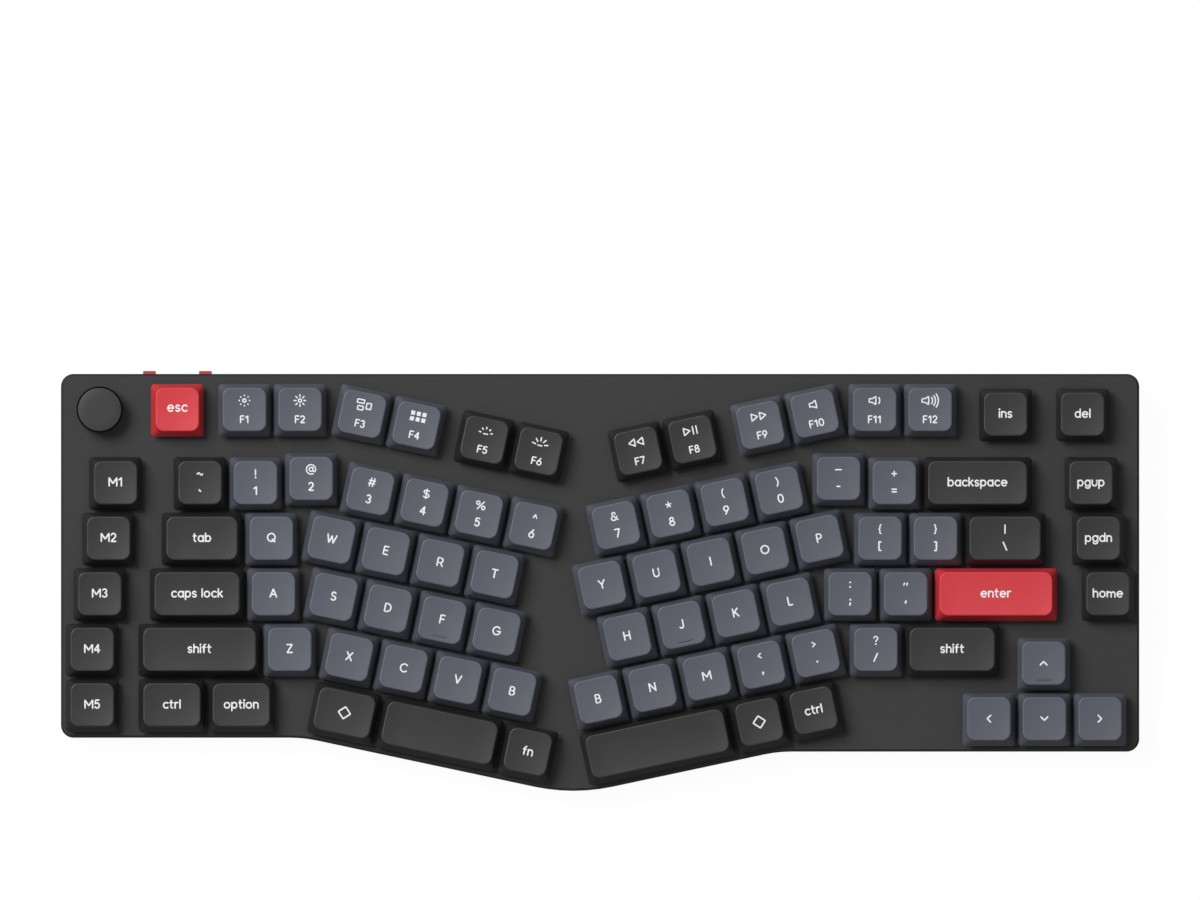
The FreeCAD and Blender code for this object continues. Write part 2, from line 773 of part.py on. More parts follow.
def port_block(width, height, y0, y1):
    """A rounded bar along Y, for the port's shell, its inside and its opening."""
    x, y, z = port_frame()
    section = rounded_rectangle(width, height, height / 2 - round_end, 0)
    bar = Part.Face(section).extrude(V(0, 0, y1 - y0))
    turn = FreeCAD.Placement(V(x, y + y1, z), FreeCAD.Rotation(X_AXIS, 90))
    return moved(bar, turn)


def make_port():
    shell = port_block(port_width, port_height, -port_depth, 0)
    inside = port_block(port_width - 2 * port_wall, port_height - 2 * port_wall,
                        port_wall - port_depth, 1)
    x, y, z = port_frame()
    width, height, length = tongue
    tip = span(x - width / 2, x + width / 2, y - port_depth + port_wall / 2,
               y - port_depth + port_wall + length, z - height / 2, z + height / 2)
    return shell.cut(inside).fuse(tip)


def port_opening():
    return port_block(port_width + 2 * port_opening_gap, port_height + 2 * port_opening_gap,
                      -port_depth, port_recess + 1)


def make_screw():
    seat = board_under - screw_seat
    screw = joined([rod(screw_head, seat - screw_head_height, seat),
                    rod(screw_shank, seat, board_under + screw_bite - fit)])
    length, width, depth = screw_cross
    low, high = seat - screw_head_height - 1, seat - screw_head_height + depth
    return screw.cut([block(length, width, low, high), block(width, length, low, high)])


def deck_to_table():
    """Tilts the deck by the typing angle, and stands the nose at its height."""
    turn = FreeCAD.Rotation(X_AXIS, typing_angle)
    nose = turn.multVec(V(0, outline().BoundBox.YMin, 0))
    return FreeCAD.Placement(V(0, 0, front_height - nose.z), turn)


def underside():
    """The frame of the flat underside: Z is 0 on it, and points up into the case."""
    return at(0, 0, foot_stand)


def foot_frames():
    """Each tilt foot's pivot, in the frame of the underside."""
    back = deck_edges()[2]
    height = foot_sink + foot_thickness / 2
    return [at(side * foot_from_middle, back - foot_from_back, height) for side in (-1, 1)]


def make_tilt_foot():
    """A folding foot, lying forward from its pivot along X."""
    half = foot_width / 2
    radius = foot_thickness / 2
    plate = span(-half, half, -foot_length, 0, -radius, radius)
    barrel = Part.makeCylinder(radius, foot_width, V(-half, 0, 0), X_AXIS)
    pins = Part.makeCylinder(foot_pin / 2, foot_width + 2 * foot_pin_length,
                             V(-half - foot_pin_length, 0, 0), X_AXIS)
    return joined([plate, barrel, pins])


def foot_bay_parts():
    """What the tray gains and loses around one folded foot."""
    half = foot_width / 2 + foot_gap
    radius = foot_thickness / 2
    floor = -radius - foot_sink
    roof = radius + foot_gap
    front, rear = -foot_length - foot_gap, radius + foot_gap
    body = span(-half - bay_wall, half + bay_wall, front - bay_wall, rear + bay_wall,
                floor, roof + bay_roof)
    bay = span(-half, half, front, rear, floor - 1, roof)
    pin_room = foot_width / 2 + foot_pin_length + foot_gap / 2
    pins = Part.makeCylinder(foot_pin / 2 + fit, 2 * pin_room, V(-pin_room, 0, 0), X_AXIS)
    width, length, depth = finger_notch
    notch = span(-width / 2, width / 2, front - length, front + 1, floor - 1, floor + depth)
    return body, [bay, pins, notch]


def rubber_places():
    """Each rubber foot on the underside: middle, width and depth."""
    left, right, back, front_left, front_right = deck_edges()
    nose = outline().BoundBox
    nose_x = crossing_of_slopes().x
    return (
        (left + rubber_side_inset, back - rubber_back_inset) + rubber_back,
        (right - rubber_side_inset, back - rubber_back_inset) + rubber_back,
        (left + rubber_side_inset, front_left + rubber_front_inset) + rubber_back,
        (right - rubber_side_inset, front_right + rubber_front_inset) + rubber_back,
        (nose_x, nose.YMin + rubber_nose_inset) + rubber_nose,
    )


def crossing_of_slopes():
    """The nose's corner before it is rounded."""
    lines = []
    for name in ("left", "right"):
        frame = block_frame(name)
        lines.append((frame.multVec(V(0, -4.5 * unit, 0)), frame.Rotation.multVec(X_AXIS)))
    return crossing(*lines[0], *lines[1])


def rubber_shape(place, low, high, gap=0.0):
    x, y, width, depth = place
    loop = rounded_rectangle(width - 2 * gap, depth - 2 * gap, depth / 2 - gap - round_end, 0)
    return moved(prism(loop, low, high), at(x, y))


def make_tray():
    """The lower case: a wedge with a flat underside, posts, bays and seats."""
    tilt = deck_to_table()
    outer = prism(outline(case_step), -deep, -skirt_depth)
    lip = prism(outline(skirt_wall + lip_clearance), -deep, -skirt_depth + lip_height)
    inner = prism(outline(skirt_wall + lip_clearance + lip_wall), -deep, 0)
    room = prism(outline(case_step + case_wall), -deep, -skirt_depth - lip_height)
    posts = [rod(post_outer, -deep, board_under, x, y) for x, y in screw_points()]
    far = outline().BoundBox.DiagonalLength
    below = span(-far, far, -far, far, -2 * deep, foot_stand)
    above_floor = span(-far, far, -far, far, foot_stand + case_floor, 2 * deep)
    hollow = moved(inner.fuse(room), tilt).common(above_floor)
    shell = moved(outer.fuse(lip), tilt).cut(below).cut(hollow)
    shell = shell.fuse([moved(post, tilt).cut(below) for post in posts])
    seat = board_under - screw_seat
    cuts = []
    for x, y in screw_points():
        cuts.append(moved(rod(screw_hole, -deep, 0, x, y), tilt))
        cuts.append(moved(rod(screw_recess, -deep, seat, x, y), tilt))
    for frame in foot_frames():
        body, bay = foot_bay_parts()
        place = underside().multiply(frame)
        shell = shell.fuse(moved(body, place))
        cuts += [moved(tool, place) for tool in bay]
    cuts += [moved(rubber_shape(place, -1, rubber_depth), underside())
             for place in rubber_places()]
    cuts += [moved(tool, tilt) for tool in slider_slots() + [port_opening()]]
    return shell.cut(cuts).removeSplitter()


def make_battery():
    width, depth, height = battery_size
    loop = rounded_rectangle(width, depth, battery_corner, 0)
    x, y = battery_centre
    return moved(prism(loop, case_floor, case_floor + height), at(x, y))


def make_pad():
    """The soft sheet on the tray's floor, open around the posts, bays and battery."""
    inset = skirt_wall + lip_clearance + lip_wall + pad_gap
    sheet = prism(outline(inset), case_floor, case_floor + pad_thickness)
    low, high = case_floor - 1, case_floor + pad_thickness + 1
    width, depth, _ = battery_size
    cuts = [block(width + 2 * pad_gap, depth + 2 * pad_gap, low, high, *battery_centre)]
    cuts += [rod(post_outer + 4 * pad_gap, low, high, x, y) for x, y in screw_points()]
    for frame in foot_frames():
        body, _ = foot_bay_parts()
        box = body.BoundBox
        tool = span(box.XMin - pad_gap, box.XMax + pad_gap, box.YMin - pad_gap,
                    box.YMax + pad_gap, -deep, deep)
        cuts.append(moved(tool, frame))
    return sheet.cut(cuts)


def make_keys(keys):
    """Each key's cap and stems, gathered under the node that they move with."""
    caps = {width: keycap(width) for width in sorted({key[1] for key in keys})}
    stem, blade = switch_stem(), stabiliser_blade()
    nodes = {}
    for node, width, frame in keys:
        solids = nodes.setdefault(node, [])
        cap = caps[width]
        if (node, len(solids) // 2) in HOMING_KEYS:
            cap = with_homing_bar(cap)
        solids.append(moved(cap, frame))
        solids.append(moved(stem, frame))
        if width >= stabilised_width:
            solids += [moved(tool, frame) for tool in for_both_stems(blade)]
    return nodes


def with_homing_bar(cap):
    width, depth, rise = homing_bar
    y = cap_back_shift - (unit - cap_gap - cap_taper) / 2 + homing_bar_inset
    low = cap_top - dish_depth
    bar = block(width, depth, low - rise, low + rise, 0, y)
    return cap.fuse(bar).removeSplitter()


def build():
    """Every node, as a list of solids standing on the table."""
    keys = all_keys()
    tilt = deck_to_table()
    slide_bodies, fingers = make_slide_switches()
    knob_at = at(*knob_place())
    wide = stabilised(keys)
    on_deck = {
        "deck_plate": [make_deck(keys)],
        "plate_foam": [make_foam(keys)],
        "circuit_board": [make_board(keys)] + make_board_chips(),
        "switch_bases": fan_out(switch_base(), keys),
        "switch_tops": fan_out(switch_top(), keys),
        "switch_springs": fan_out(switch_spring(), keys),
        "hot_swap_sockets": fan_out(hot_swap_socket(), keys),
        "stabiliser_clips": [moved(clip, frame) for _, _, frame in wide
                             for clip in for_both_stems(stabiliser_clip())],
        "charging_port": [make_port()],
        "slide_switch_bodies": slide_bodies,
        "power_slider": [fingers[0]],
        "mode_slider": [fingers[1]],
        "case_screws": [moved(make_screw(), at(x, y)) for x, y in screw_points()],
    }
    on_deck.update(make_keys(keys))
    for name, shape in make_encoder().items():
        on_deck[name] = [moved(shape, knob_at)]
    wire = stabiliser_wire()
    for node, _, frame in wide:
        on_deck[node.replace("_key", "_wire")] = [moved(wire, frame)]
    nodes = {name: [moved(solid, tilt) for solid in solids] for name, solids in on_deck.items()}
    under = underside()
    feet = [moved(make_tilt_foot(), under.multiply(frame)) for frame in foot_frames()]
    nodes["bottom_case"] = [make_tray()]
    nodes["battery_pack"] = [moved(make_battery(), under)]
    nodes["bottom_pad"] = [moved(make_pad(), under)]
    nodes["rubber_feet"] = [moved(rubber_shape(place, -foot_stand, rubber_depth, fit), under)
                            for place in rubber_places()]
    nodes["left_tilt_foot"], nodes["right_tilt_foot"] = [feet[0]], [feet[1]]
    shift = centring(nodes)
    return {name: [moved(solid, shift) for solid in solids] for name, solids in nodes.items()}


def centring(nodes):
    """Brings the middle of the whole part over the origin."""
    reach = FreeCAD.BoundBox()
    for name in ("bottom_case", "deck_plate", "power_slider", "mode_slider"):
        reach.add(nodes[name][0].optimalBoundingBox(False))
    return at(-reach.Center.x, -reach.Center.y)


def main():
    os.makedirs("parts", exist_ok=True)
    for name, solids in build().items():
        shape = solids[0] if len(solids) == 1 else Part.makeCompound(solids)
        shape.exportStep("parts/" + name + ".step")


main()
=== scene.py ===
# %% [markdown]
# An ergonomic keyboard is a thin wedge: a dark metal deck, 89 floating keycaps in three colours,
# a knob and two small red switches. The construction is already packed as a fixed frame, so this
# lesson only dresses it: it loads the frame, gives each surface its finish, and builds again the
# pieces whose shape needs softer edges than construction solids have.

# %% Load the fixed frame
import json
import math

import bmesh
import bpy
from mathutils import Matrix, Vector


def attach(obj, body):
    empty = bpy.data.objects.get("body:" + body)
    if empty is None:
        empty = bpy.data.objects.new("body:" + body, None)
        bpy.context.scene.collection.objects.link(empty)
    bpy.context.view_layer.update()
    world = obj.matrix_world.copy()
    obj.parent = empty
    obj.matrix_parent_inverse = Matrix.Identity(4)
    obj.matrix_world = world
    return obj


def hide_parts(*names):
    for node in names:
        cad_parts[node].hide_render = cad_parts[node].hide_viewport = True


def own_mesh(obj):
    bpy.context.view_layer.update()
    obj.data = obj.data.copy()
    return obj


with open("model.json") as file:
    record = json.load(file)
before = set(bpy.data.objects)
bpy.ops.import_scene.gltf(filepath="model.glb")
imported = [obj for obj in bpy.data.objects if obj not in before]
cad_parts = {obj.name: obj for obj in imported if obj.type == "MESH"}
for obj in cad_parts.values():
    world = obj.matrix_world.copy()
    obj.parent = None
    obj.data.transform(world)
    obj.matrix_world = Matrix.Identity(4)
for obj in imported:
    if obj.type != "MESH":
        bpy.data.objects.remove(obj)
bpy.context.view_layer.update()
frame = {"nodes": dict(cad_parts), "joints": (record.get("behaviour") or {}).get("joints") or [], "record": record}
scene = bpy.context.scene
joints = {joint["name"]: joint for joint in frame["joints"]}
slots = {part["node"]: part["material_slot"] for part in frame["record"]["subparts"]}

# %% [markdown]
# Keys are laid out in shares of the key pitch, and everything else in millimetres above the
# deck's top face. The deck is tilted towards the user, so one matrix carries the deck's own
# plane into the frame. A key is pressed square to the deck, which gives the tilt, and the knob
# turns about a point of the deck's top face, which gives the place.

# %% Sizes of the key field, in millimetres
UNIT = 19.05               # pitch of two one-unit keys side by side
FAN_ANGLE = 12.0           # how far each slanted block is turned
BOTTOM_ROW = -42.3         # middle of the lowest straight row
FUNCTION_UP = 5.318        # function row above the lowest row, in units
RAISED_UP = 4.076          # the 2 and minus keys step up by this share
CORNER_UP = 5.234          # insert and delete step down from the function row
ARROW_UP = -0.25           # arrow cluster below the rows, in units
LEFT_FAN = (-4.142, 3.848)      # middle of the 3 key, in units
RIGHT_FAN = (0.289, 3.234)      # middle of the 7 key, in units
WIDEST_LEFT = -9.144       # middle of the outermost key of the macro column, in units
SIDE_MARGIN = 1.2
BACK_MARGIN = 2.95
KNOB_FROM_LEFT = 13.25
KNOB_FROM_BACK = 12.2
MILLIMETRE = 0.001

# %% The deck's own plane
case_left = (WIDEST_LEFT - 0.5) * UNIT - SIDE_MARGIN
case_back = BOTTOM_ROW + (FUNCTION_UP + 0.5) * UNIT + BACK_MARGIN
knob_x = case_left + KNOB_FROM_LEFT
knob_y = case_back - KNOB_FROM_BACK
deck_up = -Vector(joints["escape_key_press"]["axis"]).normalized()
deck_across = Vector((1, 0, 0))
deck_back = deck_up.cross(deck_across)
knob_foot = Vector(joints["knob_turn"]["pos_m"])
deck_origin = knob_foot - (deck_across * knob_x + deck_back * knob_y) * MILLIMETRE
DECK = Matrix((deck_across, deck_back, deck_up)).transposed().to_4x4()
DECK = Matrix.Translation(deck_origin) @ DECK @ Matrix.Scale(MILLIMETRE, 4)
print("deck plane stands", round(deck_origin.z / MILLIMETRE, 2), "mm above the table")

# %% [markdown]
# Each row says in which block its first key stands and where, which node its keys belong to, how
# wide they are in units, and their legends. A legend is one word, or an upper and a lower one. The
# slanted blocks are turned about one of their number keys. The caps' colours aren't repeated
# here, because the frame knows the finish of every node.

# %% Rows of keys with their legends
ROWS = (
    ("straight", -7.612, FUNCTION_UP, "escape_key", 1, "esc"),
    ("straight", -6.404, FUNCTION_UP, "function_keys_outer", 1, "dim,F1 bright,F2"),
    ("left", -0.433, 1.330, "function_keys_outer", 1, "frames,F3 tiles,F4"),
    ("left", 1.817, 1.330, "function_keys_inner", 1, "glow,F5 shine,F6"),
    ("right", 0.665, 1.225, "function_keys_inner", 1, "back,F7 play,F8"),
    ("right", 2.915, 1.225, "function_keys_outer", 1, "next,F9 mute,F10"),
    ("straight", 4.940, FUNCTION_UP, "function_keys_outer", 1, "quiet,F11 loud,F12"),
    ("straight", 7.297, CORNER_UP, "navigation_keys", 1, "ins"),
    ("straight", 8.685, CORNER_UP, "navigation_keys", 1, "del"),
    ("straight", 8.835, 4, "navigation_keys", 1, "pgup"),
    ("straight", 8.971, 3, "navigation_keys", 1, "pgdn"),
    ("straight", 9.140, 2, "navigation_keys", 1, "home"),
    ("straight", -8.724, 4, "macro_keys", 1, "M1"),
    ("straight", -8.850, 3, "macro_keys", 1, "M2"),
    ("straight", -9.008, 2, "macro_keys", 1, "M3"),
    ("straight", -9.144, 1, "macro_keys", 1, "M4"),
    ("straight", -9.144, 0, "macro_keys", 1, "M5"),
    ("straight", -7.204, 4, "grave_key", 1, "~,`"),
    ("straight", -6.204, 4, "number_keys_left", 1, "!,1"),
    ("straight", -5.204, RAISED_UP, "number_keys_left", 1, "@,2"),
    ("left", 0, 0, "number_keys_left", 1, "#,3 $,4 %,5 ^,6"),
    ("right", 0, 0, "number_keys_right", 1, "&,7 *,8 (,9 ),0"),
    ("straight", 4.290, RAISED_UP, "number_keys_right", 1, "_,-"),
    ("straight", 5.294, 4, "number_keys_right", 1, "+,="),
    ("straight", 6.794, 4, "backspace_key", 2, "backspace"),
    ("straight", -7.169, 3, "tab_key", 1.5, "tab"),
    ("straight", -5.919, 3, "upper_keys_left", 1, "Q"),
    ("left", -0.500, -1, "upper_keys_left", 1, "W E R T"),
    ("right", -0.470, -1, "upper_keys_right", 1, "Y U I O P"),
    ("straight", 5.037, 3, "upper_keys_right", 1, "{,[ },]"),
    ("straight", 7.287, 3, "backslash_key", 1.5, "|,\\"),
    ("straight", -7.257, 2, "caps_lock_key", 1.75, "caps_lock"),
    ("straight", -5.882, 2, "home_keys_left", 1, "A"),
    ("left", -0.250, -2, "home_keys_left", 1, "S D F G"),
    ("right", -0.220, -2, "home_keys_right", 1, "H J K L"),
    ("straight", 4.499, 2, "home_keys_right", 1, ":,; \",'"),
    ("straight", 7.124, 2, "enter_key", 2.25, "enter"),
    ("straight", -7.213, 1, "left_shift_key", 2.25, "shift"),
    ("straight", -5.588, 1, "lower_keys_left", 1, "Z"),
    ("left", 0.250, -3, "lower_keys_left", 1, "X C V B"),
    ("right", -0.965, -3, "lower_keys_right", 1, "B N M <,comma >,."),
    ("straight", 4.961, 1, "lower_keys_right", 1, "?,/"),
    ("straight", 6.336, 1, "right_shift_key", 1.75, "shift"),
    ("straight", 7.984, 1 + ARROW_UP, "up_arrow_key", 1, "up"),
    ("straight", -7.711, 0, "left_control_key", 1.25, "ctrl"),
    ("straight", -6.461, 0, "left_alt_key", 1.25, "option"),
    ("left", 0.375, -4, "left_meta_key", 1.25, "diamond"),
    ("left", 2.125, -4, "left_space_key", 2.25, "blank"),
    ("left", 3.750, -4, "function_shift_key", 1, "fn"),
    ("right", -0.090, -4, "right_space_key", 2.75, "blank"),
    ("right", 1.785, -4, "right_modifier_keys", 1, "diamond ctrl"),
    ("straight", 6.997, ARROW_UP, "left_arrow_key", 1, "left"),
    ("straight", 7.997, ARROW_UP, "down_arrow_key", 1, "down"),
    ("straight", 8.997, ARROW_UP, "right_arrow_key", 1, "right"),
)
print(len(ROWS), "rows")

# %% Lay out the keys
BLOCKS = {                 # where each block's own middle is, in units, and its turn in degrees
    "straight": ((0, 0), 0.0),
    "left": (LEFT_FAN, -FAN_ANGLE),
    "right": (RIGHT_FAN, FAN_ANGLE),
}


def lay_out_keys():
    """Every key as a dictionary, gathered by the node that it belongs to."""
    found = {}
    for block, across, up, node, width, legends in ROWS:
        (block_x, block_y), degrees = BLOCKS[block]
        turn = math.radians(degrees)
        for index, legend in enumerate(legends.split()):
            place = Vector(((across + index * width) * UNIT, up * UNIT))
            place.rotate(Matrix.Rotation(turn, 2))
            place += Vector((block_x * UNIT, BOTTOM_ROW + block_y * UNIT))
            key = {"place": place, "turn": turn, "width": width, "legend": legend}
            found.setdefault(node, []).append(key)
    return found


keys = lay_out_keys()

# %% [markdown]
# A finish is easier to read as a sum than as a heap of nodes. The class below wraps one socket:
# arithmetic on it adds Math nodes, and one method makes any other node from its type, its
# settings and its sockets. The same class serves the shader trees and the geometry trees.

# %% A socket that can be calculated with
class Wire:
    """One output of a node tree. Sums and products of wires add Math nodes to the same tree."""

    def __init__(self, tree, socket=None):
        self.tree = tree
        self.socket = socket

    def node(self, kind, settings=None, sockets=None, out=0):
        made = self.tree.nodes.new(kind)
        for name, value in (settings or {}).items():
            if name == "stops":
                set_stops(made.color_ramp, value)
            else:
                setattr(made, name, value)
        for name, value in (sockets or {}).items():
            feed(made.inputs[name], value)
        return Wire(self.tree, made.outputs[out])

    def math(self, operation, first, second):
        return self.node("ShaderNodeMath", {"operation": operation}, {0: first, 1: second})

    def __add__(self, other):
        return self.math("ADD", self, other)

    def __radd__(self, other):
        return self.math("ADD", other, self)

    def __mul__(self, other):
        return self.math("MULTIPLY", self, other)

    def __rmul__(self, other):
        return self.math("MULTIPLY", other, self)

    def mix(self, first, second):
        """Two colours, mixed by this wire."""
        settings = {"data_type": "RGBA"}
        return self.node("ShaderNodeMix", settings, {0: self, 6: first, 7: second}, out=2)


def feed(socket, value):
    """Links a wire to an input, or sets a plain value on it."""
    if isinstance(value, Wire):
        value.tree.links.new(value.socket, socket)
    else:
        socket.default_value = value


def set_stops(ramp, stops):
    """Puts (position, grey value) stops on a colour ramp."""
    while len(ramp.elements) < len(stops):
        ramp.elements.new(1.0)
    for element, (position, value) in zip(ramp.elements, stops):
        element.position = position
        element.color = (value, value, value, 1)


# %% [markdown]
# Every finish here has fine texture at its true scale: blasted metal, the sparkle texture of a
# mould, rubber, drawn wire. Noise on Object coordinates gives it, so it stays put on the part.
# A finish starts with the coordinates and ends by filling the Principled shader: what varies
# goes to colour, roughness and normal, and what is constant is set on the shader's own socket.

# %% Start and end of a finish
def linear(red, green, blue):
    """A colour written as 0 to 255 screen values, in the linear values that shaders take."""
    shares = []
    for value in (red, green, blue):
        share = value / 255
        shares.append(share / 12.92 if share <= 0.04045 else ((share + 0.055) / 1.055) ** 2.4)
    return (*shares, 1.0)


def shaded(mask, color, start, end):
    """A colour that follows a mask from one share of its brightness to another."""
    ends = [(*(min(1.0, value * share) for value in color[:3]), 1.0) for share in (start, end)]
    return mask.mix(*ends)


class Finish:
    """A material while its nodes are being written."""

    def __init__(self, name):
        self.material = bpy.data.materials.new(name)
        self.material.use_nodes = True
        self.tree = self.material.node_tree
        self.shader = self.tree.nodes["Principled BSDF"]
        self.start = Wire(self.tree)
        self.place = self.start.node("ShaderNodeTexCoord", out="Object")

    def noise(self, size_mm, detail=2.0, stretch=None):
        """Noise with features of this size, in millimetres."""
        place = self.place
        if stretch:
            place = self.start.node("ShaderNodeMapping", {}, {"Vector": place, "Scale": stretch})
        sockets = {"Vector": place, "Scale": 1 / (size_mm * MILLIMETRE), "Detail": detail}
        return self.start.node("ShaderNodeTexNoise", {}, sockets)

    def fill(self, color, roughness, height=None, relief_mm=0.0, **constants):
        """Links or sets the shader's sockets, and returns the finished material."""
        values = {"Base Color": color, "Roughness": roughness}
        if height is not None:
            sockets = {"Height": height, "Distance": relief_mm * MILLIMETRE, "Strength": 1.0}
            values["Normal"] = self.start.node("ShaderNodeBump", {}, sockets)
        values.update({name.replace("_", " "): value for name, value in constants.items()})
        for name, value in values.items():
            feed(self.shader.inputs[name], value)
        return self.material


# %% [markdown]
# The keycaps are dense plastic with a dry, very fine texture that scatters light. Their colour
# is even, so the finish only breathes by a few percent, and its roughness wanders a little, as
# moulded plastic does. The dark caps look black on their steep sides and grey on top, because
# the top mirrors the soft light above: a dark base with some gloss shows just that.

# %% Keycap plastics and the legends' white
def cap_plastic(name, color):
    finish = Finish(name)
    cloud = finish.noise(6.0, detail=3.0)
    grain = finish.noise(0.16)
    tone = shaded(cloud * 0.5 + grain * 0.5, color, 0.90, 1.10)
    return finish.fill(tone, 0.40 + cloud * 0.08 + grain * 0.04, grain, relief_mm=0.018)


def legend_white():
    finish = Finish("legend_white")
    grain = finish.noise(0.2)
    tone = grain.mix(linear(226, 227, 229), linear(244, 245, 246))
    return finish.fill(tone, 0.42 + grain * 0.1, grain, relief_mm=0.006)


CAP_COLORS = {"slate_keycap": (82, 85, 95), "dark_keycap": (35, 35, 35),
              "red_keycap": (205, 50, 59)}
finishes = {name: cap_plastic(name, linear(*tint)) for name, tint in CAP_COLORS.items()}
white_print = legend_white()
print(len(finishes), "cap plastics and a white for their legends")

# %% [markdown]
# The deck, the knob and the tray are the large quiet surfaces. The metal is blasted and dyed
# dark: a coarse and a fine grain together break up its highlight. The knob's top was faced on a
# lathe before dyeing, so it gets faint rings about its own axis. The tray is moulded plastic
# with the deeper spark texture of its tool.

# %% Deck metal, knob metal and tray plastic
def blasted_metal(name, color, roughness):
    finish = Finish(name)
    fine = finish.noise(0.22)
    coarse = finish.noise(1.4, detail=3.0)
    haze = finish.noise(45.0, detail=1.0)
    tone = shaded(fine * 0.45 + coarse * 0.25 + haze * 0.30, color, 0.84, 1.16)
    rough = roughness - 0.06 + fine * 0.08 + coarse * 0.04
    return finish.fill(tone, rough, fine * 0.7 + coarse * 0.3, relief_mm=0.020,
                       Metallic=0.35, Specular_IOR_Level=0.4)


def turned_metal(name, color, roughness, centre, spacing_mm):
    """Blasted metal with the faint rings of a lathe about an upright axis."""
    finish = Finish(name)
    sockets = {"Vector": finish.place, "Location": tuple(-value for value in centre)}
    middle = finish.start.node("ShaderNodeMapping", {"vector_type": "POINT"}, sockets)
    flat = finish.start.node("ShaderNodeVectorMath", {"operation": "MULTIPLY"},
                             {0: middle, 1: (1.0, 1.0, 0.0)})
    radius = finish.start.node("ShaderNodeVectorMath", {"operation": "LENGTH"}, {0: flat}, out=1)
    turns = finish.start.math("SINE", radius * (math.tau / (spacing_mm * MILLIMETRE)), 0.0)
    fine = finish.noise(0.2)
    tone = shaded(fine * 0.6 + turns * 0.10 + 0.15, color, 0.88, 1.12)
    relief = turns * 0.35 + fine * 0.65
    return finish.fill(tone, roughness + fine * 0.08, relief, relief_mm=0.012,
                       Metallic=0.35, Specular_IOR_Level=0.4)


def spark_plastic(name, color, roughness):
    finish = Finish(name)
    grain = finish.noise(0.5, detail=3.0)
    cloud = finish.noise(20.0)
    tone = shaded(grain * 0.6 + cloud * 0.4, color, 0.8, 1.25)
    rough = roughness - 0.08 + grain * 0.16
    return finish.fill(tone, rough, grain, relief_mm=0.05, Specular_IOR_Level=0.4)


def add_finishes(table):
    """Makes each finish of a table from its name, maker, screen colour and further settings."""
    for name, maker, tint, *settings in table:
        finishes[name] = maker(name, linear(*tint), *settings)
    print(len(table), "more finishes,", len(finishes), "in all")


LATHE_MARKS = 0.35         # distance between the rings, in millimetres
add_finishes((
    ("deck_metal", blasted_metal, (52, 52, 52), 0.50),
    ("knob_metal", turned_metal, (56, 56, 56), 0.42, knob_foot, LATHE_MARKS),
    ("tray_plastic", spark_plastic, (34, 34, 35), 0.55),
    ("tilt_foot_plastic", spark_plastic, (30, 30, 31), 0.5),
))

# %% [markdown]
# Under the caps sit the switches: black nylon bases, clear tops that let the light through, and
# brown stems. Clear moulded plastic is not perfectly clean, so its roughness wanders. Smaller
# parts need only one texture each, but no part is left with one flat colour.

# %% Switch, rubber and small-part finishes
FOAM_CELL = 0.7            # millimetres
FIELD_EDGE = ((0.48, 0.0), (0.52, 1.0))     # how sharply the board's copper fields end
EVEN, ALONG_X, ALONG_Y, ALONG_Z = (1, 1, 1), (0.1, 1, 1), (1, 0.1, 1), (1, 1, 0.1)


def moulded(name, color, roughness, gloss=0.5):
    finish = Finish(name)
    grain = finish.noise(0.3)
    tone = shaded(grain, color, 0.88, 1.14)
    rough = roughness - 0.04 + grain * 0.1
    return finish.fill(tone, rough, grain, relief_mm=0.012, Specular_IOR_Level=gloss)


def clear_plastic(name):
    finish = Finish(name)
    flow = finish.noise(2.5, stretch=(1.0, 1.0, 0.3))
    tone = flow.mix((0.80, 0.83, 0.85, 1), (0.95, 0.97, 0.98, 1))
    return finish.fill(tone, 0.06 + flow * 0.12, flow, relief_mm=0.01,
                       Transmission_Weight=0.92, IOR=1.5)


def bare_metal(name, color, roughness, stretch=EVEN, grain_mm=0.3):
    """Plated, rolled or drawn metal; the stretch lays its grain along one direction."""
    finish = Finish(name)
    grain = finish.noise(grain_mm, stretch=stretch)
    tone = shaded(grain, color, 0.85, 1.12)
    rough = roughness - 0.06 + grain * 0.14
    return finish.fill(tone, rough, grain, relief_mm=0.008, Metallic=1.0)


def soft_rubber(name, color):
    finish = Finish(name)
    grain = finish.noise(0.35, detail=3.0)
    dust = finish.noise(3.0, detail=3.0)
    tone = shaded(grain * 0.5 + dust * 0.5, color, 0.7, 1.5)
    rough = 0.72 + grain * 0.16
    return finish.fill(tone, rough, grain, relief_mm=0.03, Specular_IOR_Level=0.3)


def open_foam(name, color):
    """Foam with open cells: a cell pattern gives its pits."""
    finish = Finish(name)
    sockets = {"Vector": finish.place, "Scale": 1 / (FOAM_CELL * MILLIMETRE)}
    cells = finish.start.node("ShaderNodeTexVoronoi", {"feature": "F1"}, sockets)
    tone = shaded(cells, color, 1.5, 0.5)
    return finish.fill(tone, 0.9, cells, relief_mm=0.15, Specular_IOR_Level=0.2)


def board_laminate(name, color):
    """Solder mask over copper: broad paler fields where copper lies under the mask."""
    finish = Finish(name)
    fields = finish.noise(9.0, detail=0.0)
    copper = finish.start.node("ShaderNodeValToRGB", {"stops": FIELD_EDGE}, {"Fac": fields})
    weave = finish.noise(0.4)
    tone = shaded(copper, color, 0.8, 1.7)
    relief = weave * 0.3 + copper * 0.7
    return finish.fill(tone, 0.28 + weave * 0.1, relief, relief_mm=0.02)


